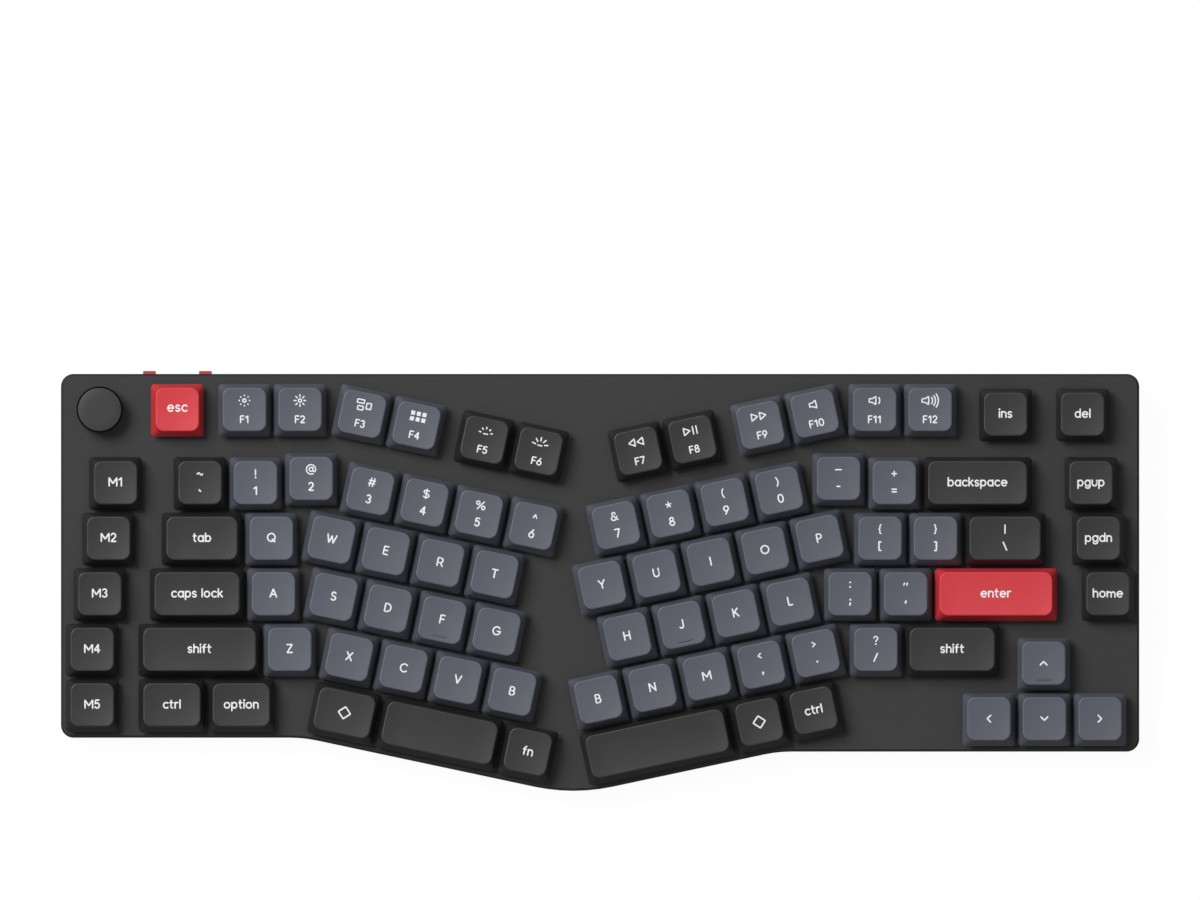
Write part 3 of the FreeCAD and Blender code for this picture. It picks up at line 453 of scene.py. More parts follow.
finishes["switch_clear"] = clear_plastic("switch_clear")
add_finishes((
    ("switch_black", moulded, (24, 24, 26), 0.4),
    ("stem_brown", moulded, (112, 60, 30), 0.35),
    ("socket_plastic", moulded, (30, 30, 32), 0.5),
    ("clip_plastic", moulded, (26, 26, 28), 0.45),
    ("rotor_plastic", moulded, (46, 46, 48), 0.45),
    ("slider_red", moulded, (186, 52, 44), 0.42),
    ("silicone", soft_rubber, (58, 58, 60)),
    ("foot_rubber", soft_rubber, (24, 24, 24)),
    ("foam", open_foam, (38, 38, 40)),
    ("board_laminate", board_laminate, (12, 38, 24)),
    ("battery_foil", bare_metal, (196, 198, 202), 0.38, EVEN, 1.5),
    ("spring_steel", bare_metal, (200, 196, 188), 0.28),
    ("wire_steel", bare_metal, (214, 214, 212), 0.2, ALONG_X),
    ("port_steel", bare_metal, (186, 188, 190), 0.3, ALONG_Y),
    ("switch_steel", bare_metal, (180, 182, 184), 0.35),
    ("encoder_can", bare_metal, (176, 178, 180), 0.35),
    ("shaft_metal", bare_metal, (200, 201, 203), 0.3, ALONG_Z),
    ("screw_steel", bare_metal, (72, 72, 75), 0.38),
))

# %% Give every construction node its finish
for node, name in slots.items():
    for slot in frame["nodes"][node].material_slots:
        slot.material = finishes[name]
print(len(slots), "construction nodes have their finish")

# %% [markdown]
# A keycap is one closed skin: it starts at the ceiling inside, runs down the inner wall, round
# the lower edge, up the sloped side, over a soft edge and into the dished top. All of its rings
# have the same number of points, so the skin is a plain grid of quads that bends smoothly. The
# dish is a shallow bowl. On a wide key a straight trough parts the two halves of the bowl.

# %% Sizes of a keycap, in millimetres
CAP_GAP = 0.95             # between the feet of two caps
CAP_BOTTOM, CAP_TOP = 3.6, 9.2      # heights above the deck
CAP_TAPER = 3.1            # how much narrower the top face is than the foot
BACK_SHIFT = 0.3           # how far the top face stands behind the foot's middle
BASE_RADIUS, TOP_RADIUS = 1.3, 2.9      # corner radii of the foot and the top face
EDGE_DROP, EDGE_RUN = 0.34, 0.5     # height and width of the soft edge
EDGE_STEPS = 4
DISH_DEPTH = 0.6
DISH_INSETS = (0.58, 1.2, 2.1, 3.3, 4.6, 6.0, 7.0)      # rings of the dish, from its edge inwards
DISH_RADIUS = 0.3          # smallest corner radius of those rings
SIDE_SHARES = (0.0, 0.03, 0.35, 0.7, 0.97)      # rings of the sloped side, from its foot up
WALL = 1.2
CEILING_INSET = 4.5        # the innermost ring of the ceiling
CEILING_RADIUS = 0.5
LOWER_EDGE = 0.12          # bevel round the foot
CORNER_STEPS, DEPTH_STEPS = 6, 4        # steps in a corner and along a short side
SMALL = 0.02               # no corner is sharper than this, and no straight side shorter


def dish_height(width, x, y):
    """Height of the dished top above the deck, at a point from the middle of the top face."""
    half_top = (UNIT - CAP_GAP - CAP_TAPER) / 2
    trough = (width - 1) * UNIT / 2
    past_trough = max(0.0, abs(x) - trough)
    share = (past_trough ** 2 + y ** 2) / (2 * half_top ** 2)
    return CAP_TOP - DISH_DEPTH * (1 - min(1.0, share))


def rounded_ring(width, depth, radius, steps_x):
    """Points of a rounded rectangle, anticlockwise, the same number for every size."""
    half_w, half_d = width / 2, depth / 2
    radius = max(SMALL, min(radius, half_w - SMALL / 2, half_d - SMALL / 2))
    points = []
    for quarter, (side_x, side_y) in enumerate(((1, 1), (-1, 1), (-1, -1), (1, -1))):
        centre = Vector((side_x * (half_w - radius), side_y * (half_d - radius)))
        for step in range(CORNER_STEPS + 1):
            angle = math.radians(90) * (quarter + step / CORNER_STEPS)
            points.append(centre + Vector((math.cos(angle), math.sin(angle))) * radius)
        along_x = quarter % 2 == 0
        steps = steps_x if along_x else DEPTH_STEPS
        next_centre = Vector((-centre.x, centre.y) if along_x else (centre.x, -centre.y))
        following = next_centre + Vector((math.cos(angle), math.sin(angle))) * radius
        begin = points[-1]
        points += [begin.lerp(following, step / steps) for step in range(1, steps)]
    return points


def skin(rings):
    """Vertices and faces of a closed skin through rings of equally many points."""
    count = len(rings[0])
    faces = []
    for level in range(len(rings) - 1):
        for step in range(count):
            low = level * count + step
            low_next = level * count + (step + 1) % count
            faces.append((low, low_next, low_next + count, low + count))
    last = (len(rings) - 1) * count
    faces.append(tuple(reversed(range(count))))
    faces.append(tuple(range(last, last + count)))
    return [point for ring in rings for point in ring], faces


def smooth_mesh(name, points, faces):
    mesh = bpy.data.meshes.new(name)
    mesh.from_pydata(points, [], faces)
    for polygon in mesh.polygons:
        polygon.use_smooth = True
    mesh.update()
    return mesh


def new_object(name, content):
    """An object of the scene that shows this mesh, lamp or camera."""
    made = bpy.data.objects.new(name, content)
    scene.collection.objects.link(made)
    return made


# %% Build one cap of each width
def cap_mesh(width):
    base_w, base_d = width * UNIT - CAP_GAP, UNIT - CAP_GAP
    top_w, top_d = base_w - CAP_TAPER, base_d - CAP_TAPER
    steps_x = 4 * math.ceil(width)
    rings = []

    def add(ring_w, ring_d, radius, height, shift=0.0):
        flat = rounded_ring(ring_w, ring_d, radius, steps_x)
        rings.append([(p.x, p.y + shift, height(p) if callable(height) else height) for p in flat])

    inner = 2 * WALL
    ceiling = CAP_TOP - WALL
    innermost = inner + 2 * CEILING_INSET
    add(top_w - innermost, top_d - innermost, CEILING_RADIUS, ceiling, BACK_SHIFT)
    add(top_w - inner, top_d - inner, TOP_RADIUS - WALL, ceiling, BACK_SHIFT)
    add(base_w - inner, base_d - inner, BASE_RADIUS / 2, CAP_BOTTOM)
    add(base_w - 2 * LOWER_EDGE, base_d - 2 * LOWER_EDGE, BASE_RADIUS - LOWER_EDGE, CAP_BOTTOM)
    side_top = CAP_TOP - DISH_DEPTH - EDGE_DROP
    for share in SIDE_SHARES:
        low = CAP_BOTTOM + LOWER_EDGE
        radius = BASE_RADIUS + (TOP_RADIUS - BASE_RADIUS) * share
        add(base_w - CAP_TAPER * share, base_d - CAP_TAPER * share, radius,
            low + (side_top - low) * share, BACK_SHIFT * share)
    for step in range(EDGE_STEPS + 1):
        angle = math.radians(90) * step / EDGE_STEPS
        inset = EDGE_RUN * (1 - math.cos(angle))
        drop = EDGE_DROP * (1 - math.sin(angle))
        add(top_w - 2 * inset, top_d - 2 * inset, TOP_RADIUS - inset,
            lambda p: dish_height(width, p.x, p.y) - drop, BACK_SHIFT)
    for inset in DISH_INSETS:
        add(top_w - 2 * inset, top_d - 2 * inset, max(DISH_RADIUS, TOP_RADIUS - inset),
            lambda p: dish_height(width, p.x, p.y), BACK_SHIFT)
    return smooth_mesh("cap", *skin(rings))


cap_masters = {}
for group in keys.values():
    width = group[0]["width"]
    if width not in cap_masters:
        cap_masters[width] = bpy.data.objects.new("master", cap_mesh(width))
print(len(cap_masters), "cap widths,", len(cap_masters[1].data.polygons), "faces on the smallest")

# %% [markdown]
# Eighty-nine caps repeat seven shapes, which is work for Geometry Nodes: a tree takes one point
# for each key, with its turn as an attribute, sets the cap on every point, makes the copies real
# and gives them their finish. Real copies matter, because an export drops instances.

# %% A tree that sets a piece on points
def new_tree(name, inputs):
    """A geometry tree with named inputs, as (tree, wires of its inputs)."""
    tree = bpy.data.node_groups.new(name, "GeometryNodeTree")
    geometry = "NodeSocketGeometry"
    tree.interface.new_socket("Geometry", in_out="INPUT", socket_type=geometry)
    tree.interface.new_socket("Geometry", in_out="OUTPUT", socket_type=geometry)
    for title, kind in inputs:
        tree.interface.new_socket(title, in_out="INPUT", socket_type=kind)
    start = tree.nodes.new("NodeGroupInput")
    wires = {socket.name: Wire(tree, socket) for socket in start.outputs if socket.name}
    return tree, wires


def end_tree(tree, geometry, finish):
    """Makes the copies real, smooths and paints them, and hands them over."""
    wire = Wire(tree)
    real = wire.node("GeometryNodeRealizeInstances", {}, {"Geometry": geometry})
    smooth = wire.node("GeometryNodeSetShadeSmooth", {}, {"Geometry": real})
    sockets = {"Geometry": smooth, "Material": finish}
    painted = wire.node("GeometryNodeSetMaterial", {}, sockets)
    end = tree.nodes.new("NodeGroupOutput")
    feed(end.inputs[0], painted)
    return tree


def placing_tree():
    tree, given = new_tree("Set on points", (("Piece", "NodeSocketObject"),
                                             ("Finish", "NodeSocketMaterial")))
    wire = Wire(tree)
    turn = wire.node("GeometryNodeInputNamedAttribute", {"data_type": "FLOAT"}, {"Name": "turn"})
    upright = wire.node("ShaderNodeCombineXYZ", {}, {"Z": turn})
    rotation = wire.node("FunctionNodeEulerToRotation", {}, {"Euler": upright})
    piece = wire.node("GeometryNodeObjectInfo", {}, {"Object": given["Piece"]}, out="Geometry")
    copies = wire.node("GeometryNodeInstanceOnPoints", {}, {
        "Points": given["Geometry"], "Instance": piece, "Rotation": rotation})
    return end_tree(tree, copies, given["Finish"])


def grow(name, mesh, tree, values):
    """Runs a tree on a mesh, and keeps the plain mesh that comes out."""
    carrier = new_object(name, mesh)
    modifier = carrier.modifiers.new("grow", "NODES")
    modifier.node_group = tree
    for item in tree.interface.items_tree:
        if item.in_out == "INPUT" and item.name in values:
            modifier[item.identifier] = values[item.name]
    depsgraph = bpy.context.evaluated_depsgraph_get()
    result = bpy.data.meshes.new_from_object(carrier.evaluated_get(depsgraph))
    carrier.modifiers.clear()
    carrier.data = result
    return carrier


def points_mesh(places):
    """A mesh of bare points with their turns, for (x, y, z, turn) places."""
    mesh = bpy.data.meshes.new("points")
    mesh.from_pydata([place[:3] for place in places], [], [])
    turns = mesh.attributes.new("turn", "FLOAT", "POINT")
    turns.data.foreach_set("value", [place[3] for place in places])
    return mesh


set_on_points = placing_tree()

# %% [markdown]
# The stems keep their construction shape. A node of keys holds caps and stems as loose shells,
# so a copy of its mesh is merged and only the shells that end below the caps' tops are kept.

# %% Dress every key
STEM_REACH = 7.2           # stems and stabiliser blades end below this height, caps above
SAME_POINT = 0.0002        # corners nearer than this are one, in millimetres


def stems_of(node):
    """A merged copy of a key node's mesh, without its caps."""
    work = bmesh.new()
    work.from_mesh(frame["nodes"][node].data)
    bmesh.ops.remove_doubles(work, verts=work.verts, dist=SAME_POINT * MILLIMETRE)
    to_deck = DECK.inverted()
    unseen = set(work.verts)
    doomed = []
    while unseen:
        front = [unseen.pop()]
        island = list(front)
        while front:
            vertex = front.pop()
            for edge in vertex.link_edges:
                other = edge.other_vert(vertex)
                if other in unseen:
                    unseen.remove(other)
                    front.append(other)
                    island.append(other)
        if max((to_deck @ vertex.co).z for vertex in island) > STEM_REACH:
            doomed += island
    bmesh.ops.delete(work, geom=doomed, context="VERTS")
    mesh = bpy.data.meshes.new(node + "_stems")
    work.to_mesh(mesh)
    work.free()
    return mesh


def settle(piece, body):
    """Carries a piece from the deck's plane into the frame, and lets it ride."""
    piece.data.transform(DECK)
    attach(piece, body)
    return piece


for node, group in keys.items():
    places = [(*key["place"], 0.0, key["turn"]) for key in group]
    master = cap_masters[group[0]["width"]]
    caps = grow(node + "_caps", points_mesh(places), set_on_points,
                {"Piece": master, "Finish": finishes[slots[node]]})
    settle(caps, node)
    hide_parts(node)
    stems = new_object(node + "_stems", stems_of(node))
    stems.data.materials.append(finishes["stem_brown"])
    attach(stems, node)
print(len(keys), "nodes have caps and stems")

# %% [markdown]
# Legends are white plastic, almost level with the cap's top. The typeface is a plain
# round-ended one, so each letter is written here as the strokes of a pen, in shares of its
# height: straight bars and parts of ellipses. A text object would give outlines that fold over
# themselves when they are thickened, and strokes can follow the dished top point by point.

# %% Pen strokes
def bars(*numbers):
    """Straight strokes from corner to corner, given as x, y, x, y and so on."""
    corners = list(zip(numbers[::2], numbers[1::2]))
    return [list(pair) for pair in zip(corners, corners[1:])]


def bow(x, y, across, up, start, end):
    """A curved stroke: the part of an ellipse between two angles, in degrees."""
    steps = max(4, round(abs(end - start) / 20))
    angles = [math.radians(start + (end - start) * step / steps) for step in range(steps + 1)]
    return [[(x + across * math.cos(angle), y + up * math.sin(angle)) for angle in angles]]


def ring(x, y, across, up):
    return bow(x, y, across, up, 0, 360)


def joined(*pieces):
    """One stroke through several, such as a straight run that goes on as a curve."""
    return [[point for piece in pieces for stroke in piece for point in stroke]]


def dot(x, y, reach=0.06):
    return [[(x + reach, y), (x, y + reach), (x - reach, y), (x, y - reach), (x + reach, y)]]


def tail(x, y):
    """The mark of a comma: a dot with a short tail to its lower left."""
    return dot(x, y) + bars(x + 0.03, y - 0.03, x - 0.06, y - 0.22)


def moved(strokes, x, y, size=1.0):
    return [[(x + size * px, y + size * py) for px, py in stroke] for stroke in strokes]


# %% Capitals: name, width and strokes, for a height of 1
STEM = bars(0, 0, 0, 1)
ROUND = ring(0.48, 0.5, 0.48, 0.5)


def lobe(straight, reach, top, bottom):
    """The round part to the right of a stem, between two heights."""
    middle, half = (top + bottom) / 2, (top - bottom) / 2
    return joined(bars(0, top, straight, top), bow(straight, middle, reach, half, 90, -90),
                  bars(straight, bottom, 0, bottom))


def cup(radius, top):
    """Two upright strokes with a half circle below."""
    return joined(bars(0, top, 0, radius), bow(radius, radius, radius, radius, 180, 360),
                  bars(2 * radius, radius, 2 * radius, top))


def double_bow(x, upper, lower, start, end):
    """Two bows over each other in one stroke, each with its middle's height and its radii."""
    return joined(bow(x, *upper, start, 270), bow(x, *lower, 90, end))


GLYPHS = {
    " ": (0.2, []),
    "A": (0.80, bars(0, 0, 0.4, 1, 0.8, 0) + bars(0.14, 0.32, 0.66, 0.32)),
    "B": (0.60, STEM + lobe(0.32, 0.22, 1, 0.54)
          + joined(bow(0.33, 0.27, 0.27, 0.27, 90, -90), bars(0.33, 0, 0, 0))),
    "C": (0.80, bow(0.47, 0.5, 0.47, 0.5, 46, 314)),
    "D": (0.74, STEM + lobe(0.26, 0.48, 1, 0)),
    "E": (0.52, bars(0.52, 0, 0, 0, 0, 1, 0.52, 1) + bars(0, 0.52, 0.46, 0.52)),
    "F": (0.50, bars(0, 0, 0, 1, 0.5, 1) + bars(0, 0.5, 0.44, 0.5)),
    "G": (0.92, bow(0.47, 0.5, 0.47, 0.5, 46, 350) + bars(0.55, 0.46, 0.93, 0.46)),
    "H": (0.70, STEM + moved(STEM, 0.7, 0) + bars(0, 0.52, 0.7, 0.52)),
    "I": (0.0, STEM),
    "J": (0.44, joined(bars(0.44, 1, 0.44, 0.28), bow(0.2, 0.26, 0.24, 0.26, 0, -150))),
    "K": (0.62, STEM + bars(0.58, 1, 0, 0.4) + bars(0.2, 0.6, 0.62, 0)),
    "L": (0.46, bars(0, 1, 0, 0, 0.46, 0)),
    "M": (0.96, bars(0, 0, 0, 1, 0.48, 0.3, 0.96, 1, 0.96, 0)),
    "N": (0.72, bars(0, 0, 0, 1, 0.72, 0, 0.72, 1)),
    "O": (0.96, ROUND),
    "P": (0.58, STEM + lobe(0.3, 0.28, 1, 0.44)),
    "Q": (0.96, ROUND + bars(0.6, 0.26, 0.92, -0.06)),
    "R": (0.68, STEM + lobe(0.34, 0.3, 1, 0.42) + bars(0.36, 0.42, 0.68, 0)),
    "S": (0.56, double_bow(0.28, (0.75, 0.25, 0.25), (0.25, 0.28, 0.25), 32, -148)),
    "T": (0.66, bars(0, 1, 0.66, 1) + bars(0.33, 0, 0.33, 1)),
    "U": (0.66, cup(0.33, 1)),
    "V": (0.76, bars(0, 1, 0.38, 0, 0.76, 1)),
    "W": (1.14, bars(0, 1, 0.3, 0, 0.57, 0.9, 0.84, 0, 1.14, 1)),
    "X": (0.68, bars(0, 0, 0.68, 1) + bars(0, 1, 0.68, 0)),
    "Y": (0.72, bars(0, 1, 0.36, 0.46, 0.72, 1) + bars(0.36, 0.46, 0.36, 0)),
    "Z": (0.62, bars(0, 1, 0.62, 1, 0, 0, 0.62, 0)),
}

# %% Small letters, most of them X_HEIGHT tall
X_HEIGHT = 0.70
POST = bars(0, 0, 0, X_HEIGHT)
TALL = bars(0, 0, 0, 1.02)
BOWL = ring(0.31, 0.35, 0.31, 0.35)
SHOULDER = joined(bow(0.27, 0.43, 0.27, 0.27, 180, 0), bars(0.54, 0.43, 0.54, 0))
GLYPHS.update({
    "a": (0.62, BOWL + moved(POST, 0.62, 0)),
    "b": (0.62, BOWL + TALL),
    "c": (0.54, bow(0.33, 0.35, 0.33, 0.35, 48, 312)),
    "d": (0.62, BOWL + moved(TALL, 0.62, 0)),
    "e": (0.66, bars(0.02, 0.36, 0.64, 0.36) + bow(0.33, 0.35, 0.33, 0.35, 0, 312)),
    "f": (0.36, joined(bars(0.14, 0, 0.14, 0.8), bow(0.36, 0.8, 0.22, 0.22, 180, 95))
          + bars(0, 0.66, 0.34, 0.66)),
    "g": (0.62, BOWL
          + joined(bars(0.62, X_HEIGHT, 0.62, -0.02), bow(0.32, -0.02, 0.3, 0.28, 0, -150))),
    "h": (0.54, TALL + SHOULDER),
    "i": (0.0, POST + dot(0, 0.99)),
    "k": (0.48, TALL + bars(0.46, X_HEIGHT, 0, 0.28) + bars(0.16, 0.42, 0.5, 0)),
    "l": (0.0, TALL),
    "m": (0.96, POST + moved(SHOULDER, 0, 0, 0.889) + moved(SHOULDER, 0.48, 0, 0.889)),
    "n": (0.54, POST + SHOULDER),
    "o": (0.66, ring(0.33, 0.35, 0.33, 0.35)),
    "p": (0.62, BOWL + bars(0, -0.32, 0, X_HEIGHT)),
    "r": (0.34, POST + bow(0.28, 0.42, 0.28, 0.28, 180, 75)),
    "s": (0.44, double_bow(0.22, (0.52, 0.2, 0.18), (0.17, 0.22, 0.17), 30, -150)),
    "t": (0.36, joined(bars(0.14, 0.96, 0.14, 0.2), bow(0.34, 0.2, 0.2, 0.2, 180, 262))
          + bars(0, 0.68, 0.36, 0.68)),
    "u": (0.56, cup(0.28, X_HEIGHT)),
})

# %% Numbers and signs
GLYPHS.update({
    "0": (0.64, ring(0.32, 0.5, 0.32, 0.5)),
    "1": (0.36, bars(0, 0.76, 0.3, 1, 0.3, 0)),
    "2": (0.56, joined(bow(0.28, 0.71, 0.27, 0.29, 160, -38), bars(0.48, 0.52, 0, 0))
          + bars(0, 0, 0.56, 0)),
    "3": (0.56, joined(bow(0.27, 0.76, 0.24, 0.24, 150, -90),
                       bow(0.27, 0.26, 0.28, 0.26, 90, -150))),
    "4": (0.62, bars(0.46, 0, 0.46, 1, 0, 0.28, 0.62, 0.28)),
    "5": (0.56, bars(0.5, 1, 0.1, 1, 0.05, 0.55) + bow(0.27, 0.32, 0.29, 0.32, 136, -148)),
    "6": (0.60, ring(0.3, 0.31, 0.3, 0.31) + bars(0.46, 1, 0.06, 0.46)),
    "7": (0.58, bars(0, 1, 0.58, 1, 0.18, 0)),
    "8": (0.58, ring(0.29, 0.77, 0.23, 0.23) + ring(0.29, 0.27, 0.29, 0.27)),
    "9": (0.60, ring(0.3, 0.69, 0.3, 0.31) + bars(0.54, 0.54, 0.14, 0)),
    "~": (0.66, joined(bow(0.17, 0.44, 0.17, 0.14, 180, 0), bow(0.5, 0.46, 0.16, 0.14, 180, 360))),
    "`": (0.20, bars(0, 0.6, 0.2, 0.4)),
    "!": (0.0, bars(0, 0.34, 0, 1) + dot(0, 0)),
    "@": (1.16, ring(0.58, 0.5, 0.24, 0.26)
          + joined(bars(0.82, 0.76, 0.82, 0.4), bow(0.99, 0.38, 0.17, 0.15, 180, 330),
                   bow(0.58, 0.5, 0.6, 0.62, 0, 300))),
    "#": (0.84, bars(0.14, -0.02, 0.3, 1.02) + bars(0.54, -0.02, 0.7, 1.02)
          + bars(0.06, 0.7, 0.84, 0.7) + bars(0, 0.32, 0.78, 0.32)),
    "$": (0.78, double_bow(0.39, (0.74, 0.35, 0.22), (0.26, 0.39, 0.24), 32, -148)
          + bars(0.39, -0.1, 0.39, 1.1)),
    "%": (1.2, ring(0.22, 0.77, 0.21, 0.23) + ring(0.98, 0.23, 0.21, 0.23)
          + bars(0.24, -0.02, 0.96, 1.02)),
    "^": (0.46, bars(0, 0.36, 0.23, 0.8, 0.46, 0.36)),
    "&": (0.82, joined(bars(0.82, 0, 0.22, 0.66), bow(0.38, 0.8, 0.21, 0.2, 215, -45),
                       bars(0.53, 0.66, 0.16, 0.44), bow(0.31, 0.24, 0.31, 0.26, 130, 330),
                       bars(0.58, 0.11, 0.78, 0.44))),
    "*": (0.64, bars(0.32, 0.5, 0.32, 0.84) + bars(0, 0.6, 0.32, 0.5, 0.64, 0.6)
          + bars(0.12, 0.22, 0.32, 0.5, 0.52, 0.22)),
    "(": (0.24, bow(0.56, 0.5, 0.54, 0.72, 128, 232)),
    "_": (0.76, bars(0, 0.46, 0.76, 0.46)),
    "-": (0.36, bars(0, 0.5, 0.36, 0.5)),
    "+": (0.58, bars(0, 0.5, 0.58, 0.5) + bars(0.29, 0.21, 0.29, 0.79)),
    "=": (0.54, bars(0, 0.68, 0.54, 0.68) + bars(0, 0.34, 0.54, 0.34)),
    "{": (0.26, bars(0.26, 1.08, 0.13, 0.98, 0.13, 0.62, 0, 0.5, 0.13, 0.38, 0.13, 0.02,
                     0.26, -0.08)),
    "[": (0.24, bars(0.24, 1.06, 0, 1.06, 0, -0.06, 0.24, -0.06)),
    "|": (0.0, bars(0, -0.04, 0, 1.04)),
    "\\": (0.44, bars(0, 1, 0.44, 0)),
    "/": (0.44, bars(0, 0, 0.44, 1)),
    ":": (0.0, dot(0, 0.2) + dot(0, 0.8)),
    ";": (0.06, dot(0.06, 0.76) + tail(0.06, 0.28)),
    "\"": (0.46, tail(0.06, 0.66) + tail(0.44, 0.66)),
    "'": (0.06, tail(0.06, 0.55)),
    "<": (0.38, bars(0.38, 0.78, 0, 0.5, 0.38, 0.22)),
    "comma": (0.06, tail(0.06, 0.5)),
    ".": (0.0, dot(0, 0.42)),
    "?": (0.50, joined(bow(0.25, 0.74, 0.25, 0.26, 165, -60), bars(0.36, 0.5, 0.25, 0.34))
          + dot(0.25, 0)),
})
for opening, closing in ("()", "{}", "[]", "<>"):
    width, strokes = GLYPHS[opening]
    GLYPHS[closing] = (width, [[(width - x, y) for x, y in stroke] for stroke in strokes])
print(len(GLYPHS), "letters, numbers and signs")

# %% [markdown]
# The function row and the arrows carry small pictures instead of letters. They are drawn in
# millimetres about their own middle: suns for the screen, half suns for the light under the keys,
# triangles for players and a horn with waves for loudness.

# %% Pictures on the function and arrow keys
TILE_ROWS = 4
LAMP_DOWN = 1.0            # the lamp's base below the middle
HALF_SUN = (12, 195)       # first angle of its five rays, and the turn that they are spread over


def around(count, radius, start=0.0, turn=360.0):
    """Points about the middle, spread from one angle over a turn."""
    angles = [math.radians(start + turn * index / count) for index in range(count)]
    return [(radius * math.cos(angle), radius * math.sin(angle)) for angle in angles]


def spokes(count, inner, outer, start=0.0, turn=360.0):
    """Strokes that point away from the middle."""
    ends = zip(around(count, inner, start, turn), around(count, outer, start, turn))
    return [list(pair) for pair in ends]


def box(x, y, width, height):
    left, right, low, high = x - width / 2, x + width / 2, y - height / 2, y + height / 2
    return bars(left, low, right, low, right, high, left, high, left, low)


def filled_tile(x, y):
    """A solid square of side 1, from strokes that lie close together."""
    found = []
    for row in range(TILE_ROWS):
        level = y + row / (TILE_ROWS - 1) - 0.5
        found += bars(x - 0.5, level, x + 0.5, level)
    return found


def triangle(x, direction):
    """A triangle on its side: direction is 1 to the right and -1 to the left."""
    back, tip = x - direction * 0.95, x + direction * 1.15
    return bars(back, 1.25, tip, 0, back, -1.25, back, 1.25)


def horn(x, waves):
    found = bars(x - 1.35, 0.6, x - 0.45, 0.6, x + 0.95, 1.35, x + 0.95, -1.35, x - 0.45, -0.6,
                 x - 1.35, -0.6, x - 1.35, 0.6)
    for wave in range(waves):
        found += bow(x + 0.6, 0, 1.7 + wave, 1.7 + wave, -38, 38)
    return found


sun = ring(0, 0, 0.56, 0.56)
lamp_base = bars(-0.7, -LAMP_DOWN, 0.7, -LAMP_DOWN)
PICTURES = {
    "blank": [],
    "dim": sun + [stroke for x, y in around(8, 1.75) for stroke in dot(x, y, 0.1)],
    "bright": sun + spokes(8, 1.35, 2.0),
    "frames": box(-1.25, 1.15, 2.4, 1.2) + box(-1.0, -1.15, 1.9, 1.3) + box(1.75, -0.1, 1.6, 2.0),
    "tiles": [stroke for x in (-2, 0, 2) for y in (-1, 1) for stroke in filled_tile(x, y)],
    "glow": lamp_base + moved(spokes(5, 1.8, 2.3, *HALF_SUN), 0, -LAMP_DOWN),
    "shine": lamp_base + moved(spokes(5, 1.6, 2.75, *HALF_SUN), 0, -LAMP_DOWN),
    "back": triangle(-1.45, -1) + triangle(1.45, -1),
    "next": triangle(-1.45, 1) + triangle(1.45, 1),
    "play": triangle(-1.35, 1) + bars(0.85, -1.3, 0.85, 1.3) + bars(2.1, -1.3, 2.1, 1.3),
    "mute": horn(0.2, 0),
    "quiet": horn(-0.5, 1),
    "loud": horn(-1.45, 3),
    "up": bars(-1.15, -0.6, 0, 0.55, 1.15, -0.6),
    "down": bars(-1.15, 0.6, 0, -0.55, 1.15, 0.6),
    "left": bars(0.6, 1.15, -0.55, 0, 0.6, -1.15),
    "right": bars(-0.6, 1.15, 0.55, 0, -0.6, -1.15),
    "diamond": bars(0, 2.1, 2.1, 0, 0, -2.1, -2.1, 0, 0, 2.1),
}
print(len(PICTURES), "pictures")

# %% [markdown]
# A legend is set in one of four ways: a word or letter in the middle, a picture in the middle, a
# picture over a small label, and a sign over a number. Every stroke is carried to its key and
# laid on the dished top.

# %% Set the legends of one key
LETTER_SPACE = 0.28        # gap between letters, in shares of their height
LETTER, ESCAPE_LETTER, LABEL, SIGN = 2.72, 2.95, 2.3, 2.65      # heights in millimetres
LETTER_UP, ESCAPE_UP = 0.26, 0.85       # words stand a little above the middle
BOLD, FINE = 0.28, 0.25    # half the width of a stroke, in millimetres
LABEL_DOWN, PICTURE_UP = 3.4, 3.05
LOWER_DOWN, UPPER_UP = 2.75, 3.1


def spelled(text, size):
    """The strokes of a word, centred across and about half the height of its capitals."""
    names = [text] if text in GLYPHS else list(text.replace("_", " "))
    widths = [GLYPHS[name][0] for name in names]
    x = -(sum(widths) + LETTER_SPACE * (len(names) - 1)) / 2
    found = []
    for name, width in zip(names, widths):
        found += moved(GLYPHS[name][1], x * size, -size / 2, size)
        x += width + LETTER_SPACE
    return found


def legend_strokes(key):
    """Strokes and half widths of a key's legends, in millimetres from its top face's middle."""
    legend = key["legend"]
    if legend in PICTURES:
        return [(stroke, BOLD) for stroke in PICTURES[legend]]
    if "," not in legend:
        size, up = (ESCAPE_LETTER, ESCAPE_UP) if legend == "esc" else (LETTER, LETTER_UP)
        return [(stroke, BOLD) for stroke in moved(spelled(legend, size), 0, up)]
    upper, lower = legend.split(",", 1)
    if upper in PICTURES:
        picture = moved(PICTURES[upper], 0, PICTURE_UP)
        label = moved(spelled(lower, LABEL), 0, -LABEL_DOWN)
        return [(stroke, FINE) for stroke in picture + label]
    sign = moved(spelled(upper, SIGN), 0, UPPER_UP)
    number = moved(spelled(lower, SIGN), 0, -LOWER_DOWN)
    return [(stroke, FINE) for stroke in sign] + [(stroke, BOLD) for stroke in number]


def laid_on_tops(group, strokes_of):
    """The strokes of a node's keys as runs of points on the keys' tops, with half widths."""
    runs = []
    for key in group:
        turned = Matrix.Rotation(key["turn"], 2)
        for stroke, half_width in strokes_of(key):
            run = []
            for x, y in stroke:
                flat = Vector((x, y + BACK_SHIFT))
                flat.rotate(turned)
                flat += key["place"]
                run.append((flat.x, flat.y, dish_height(key["width"], x, y)))
            runs.append((run, half_width))
    return runs


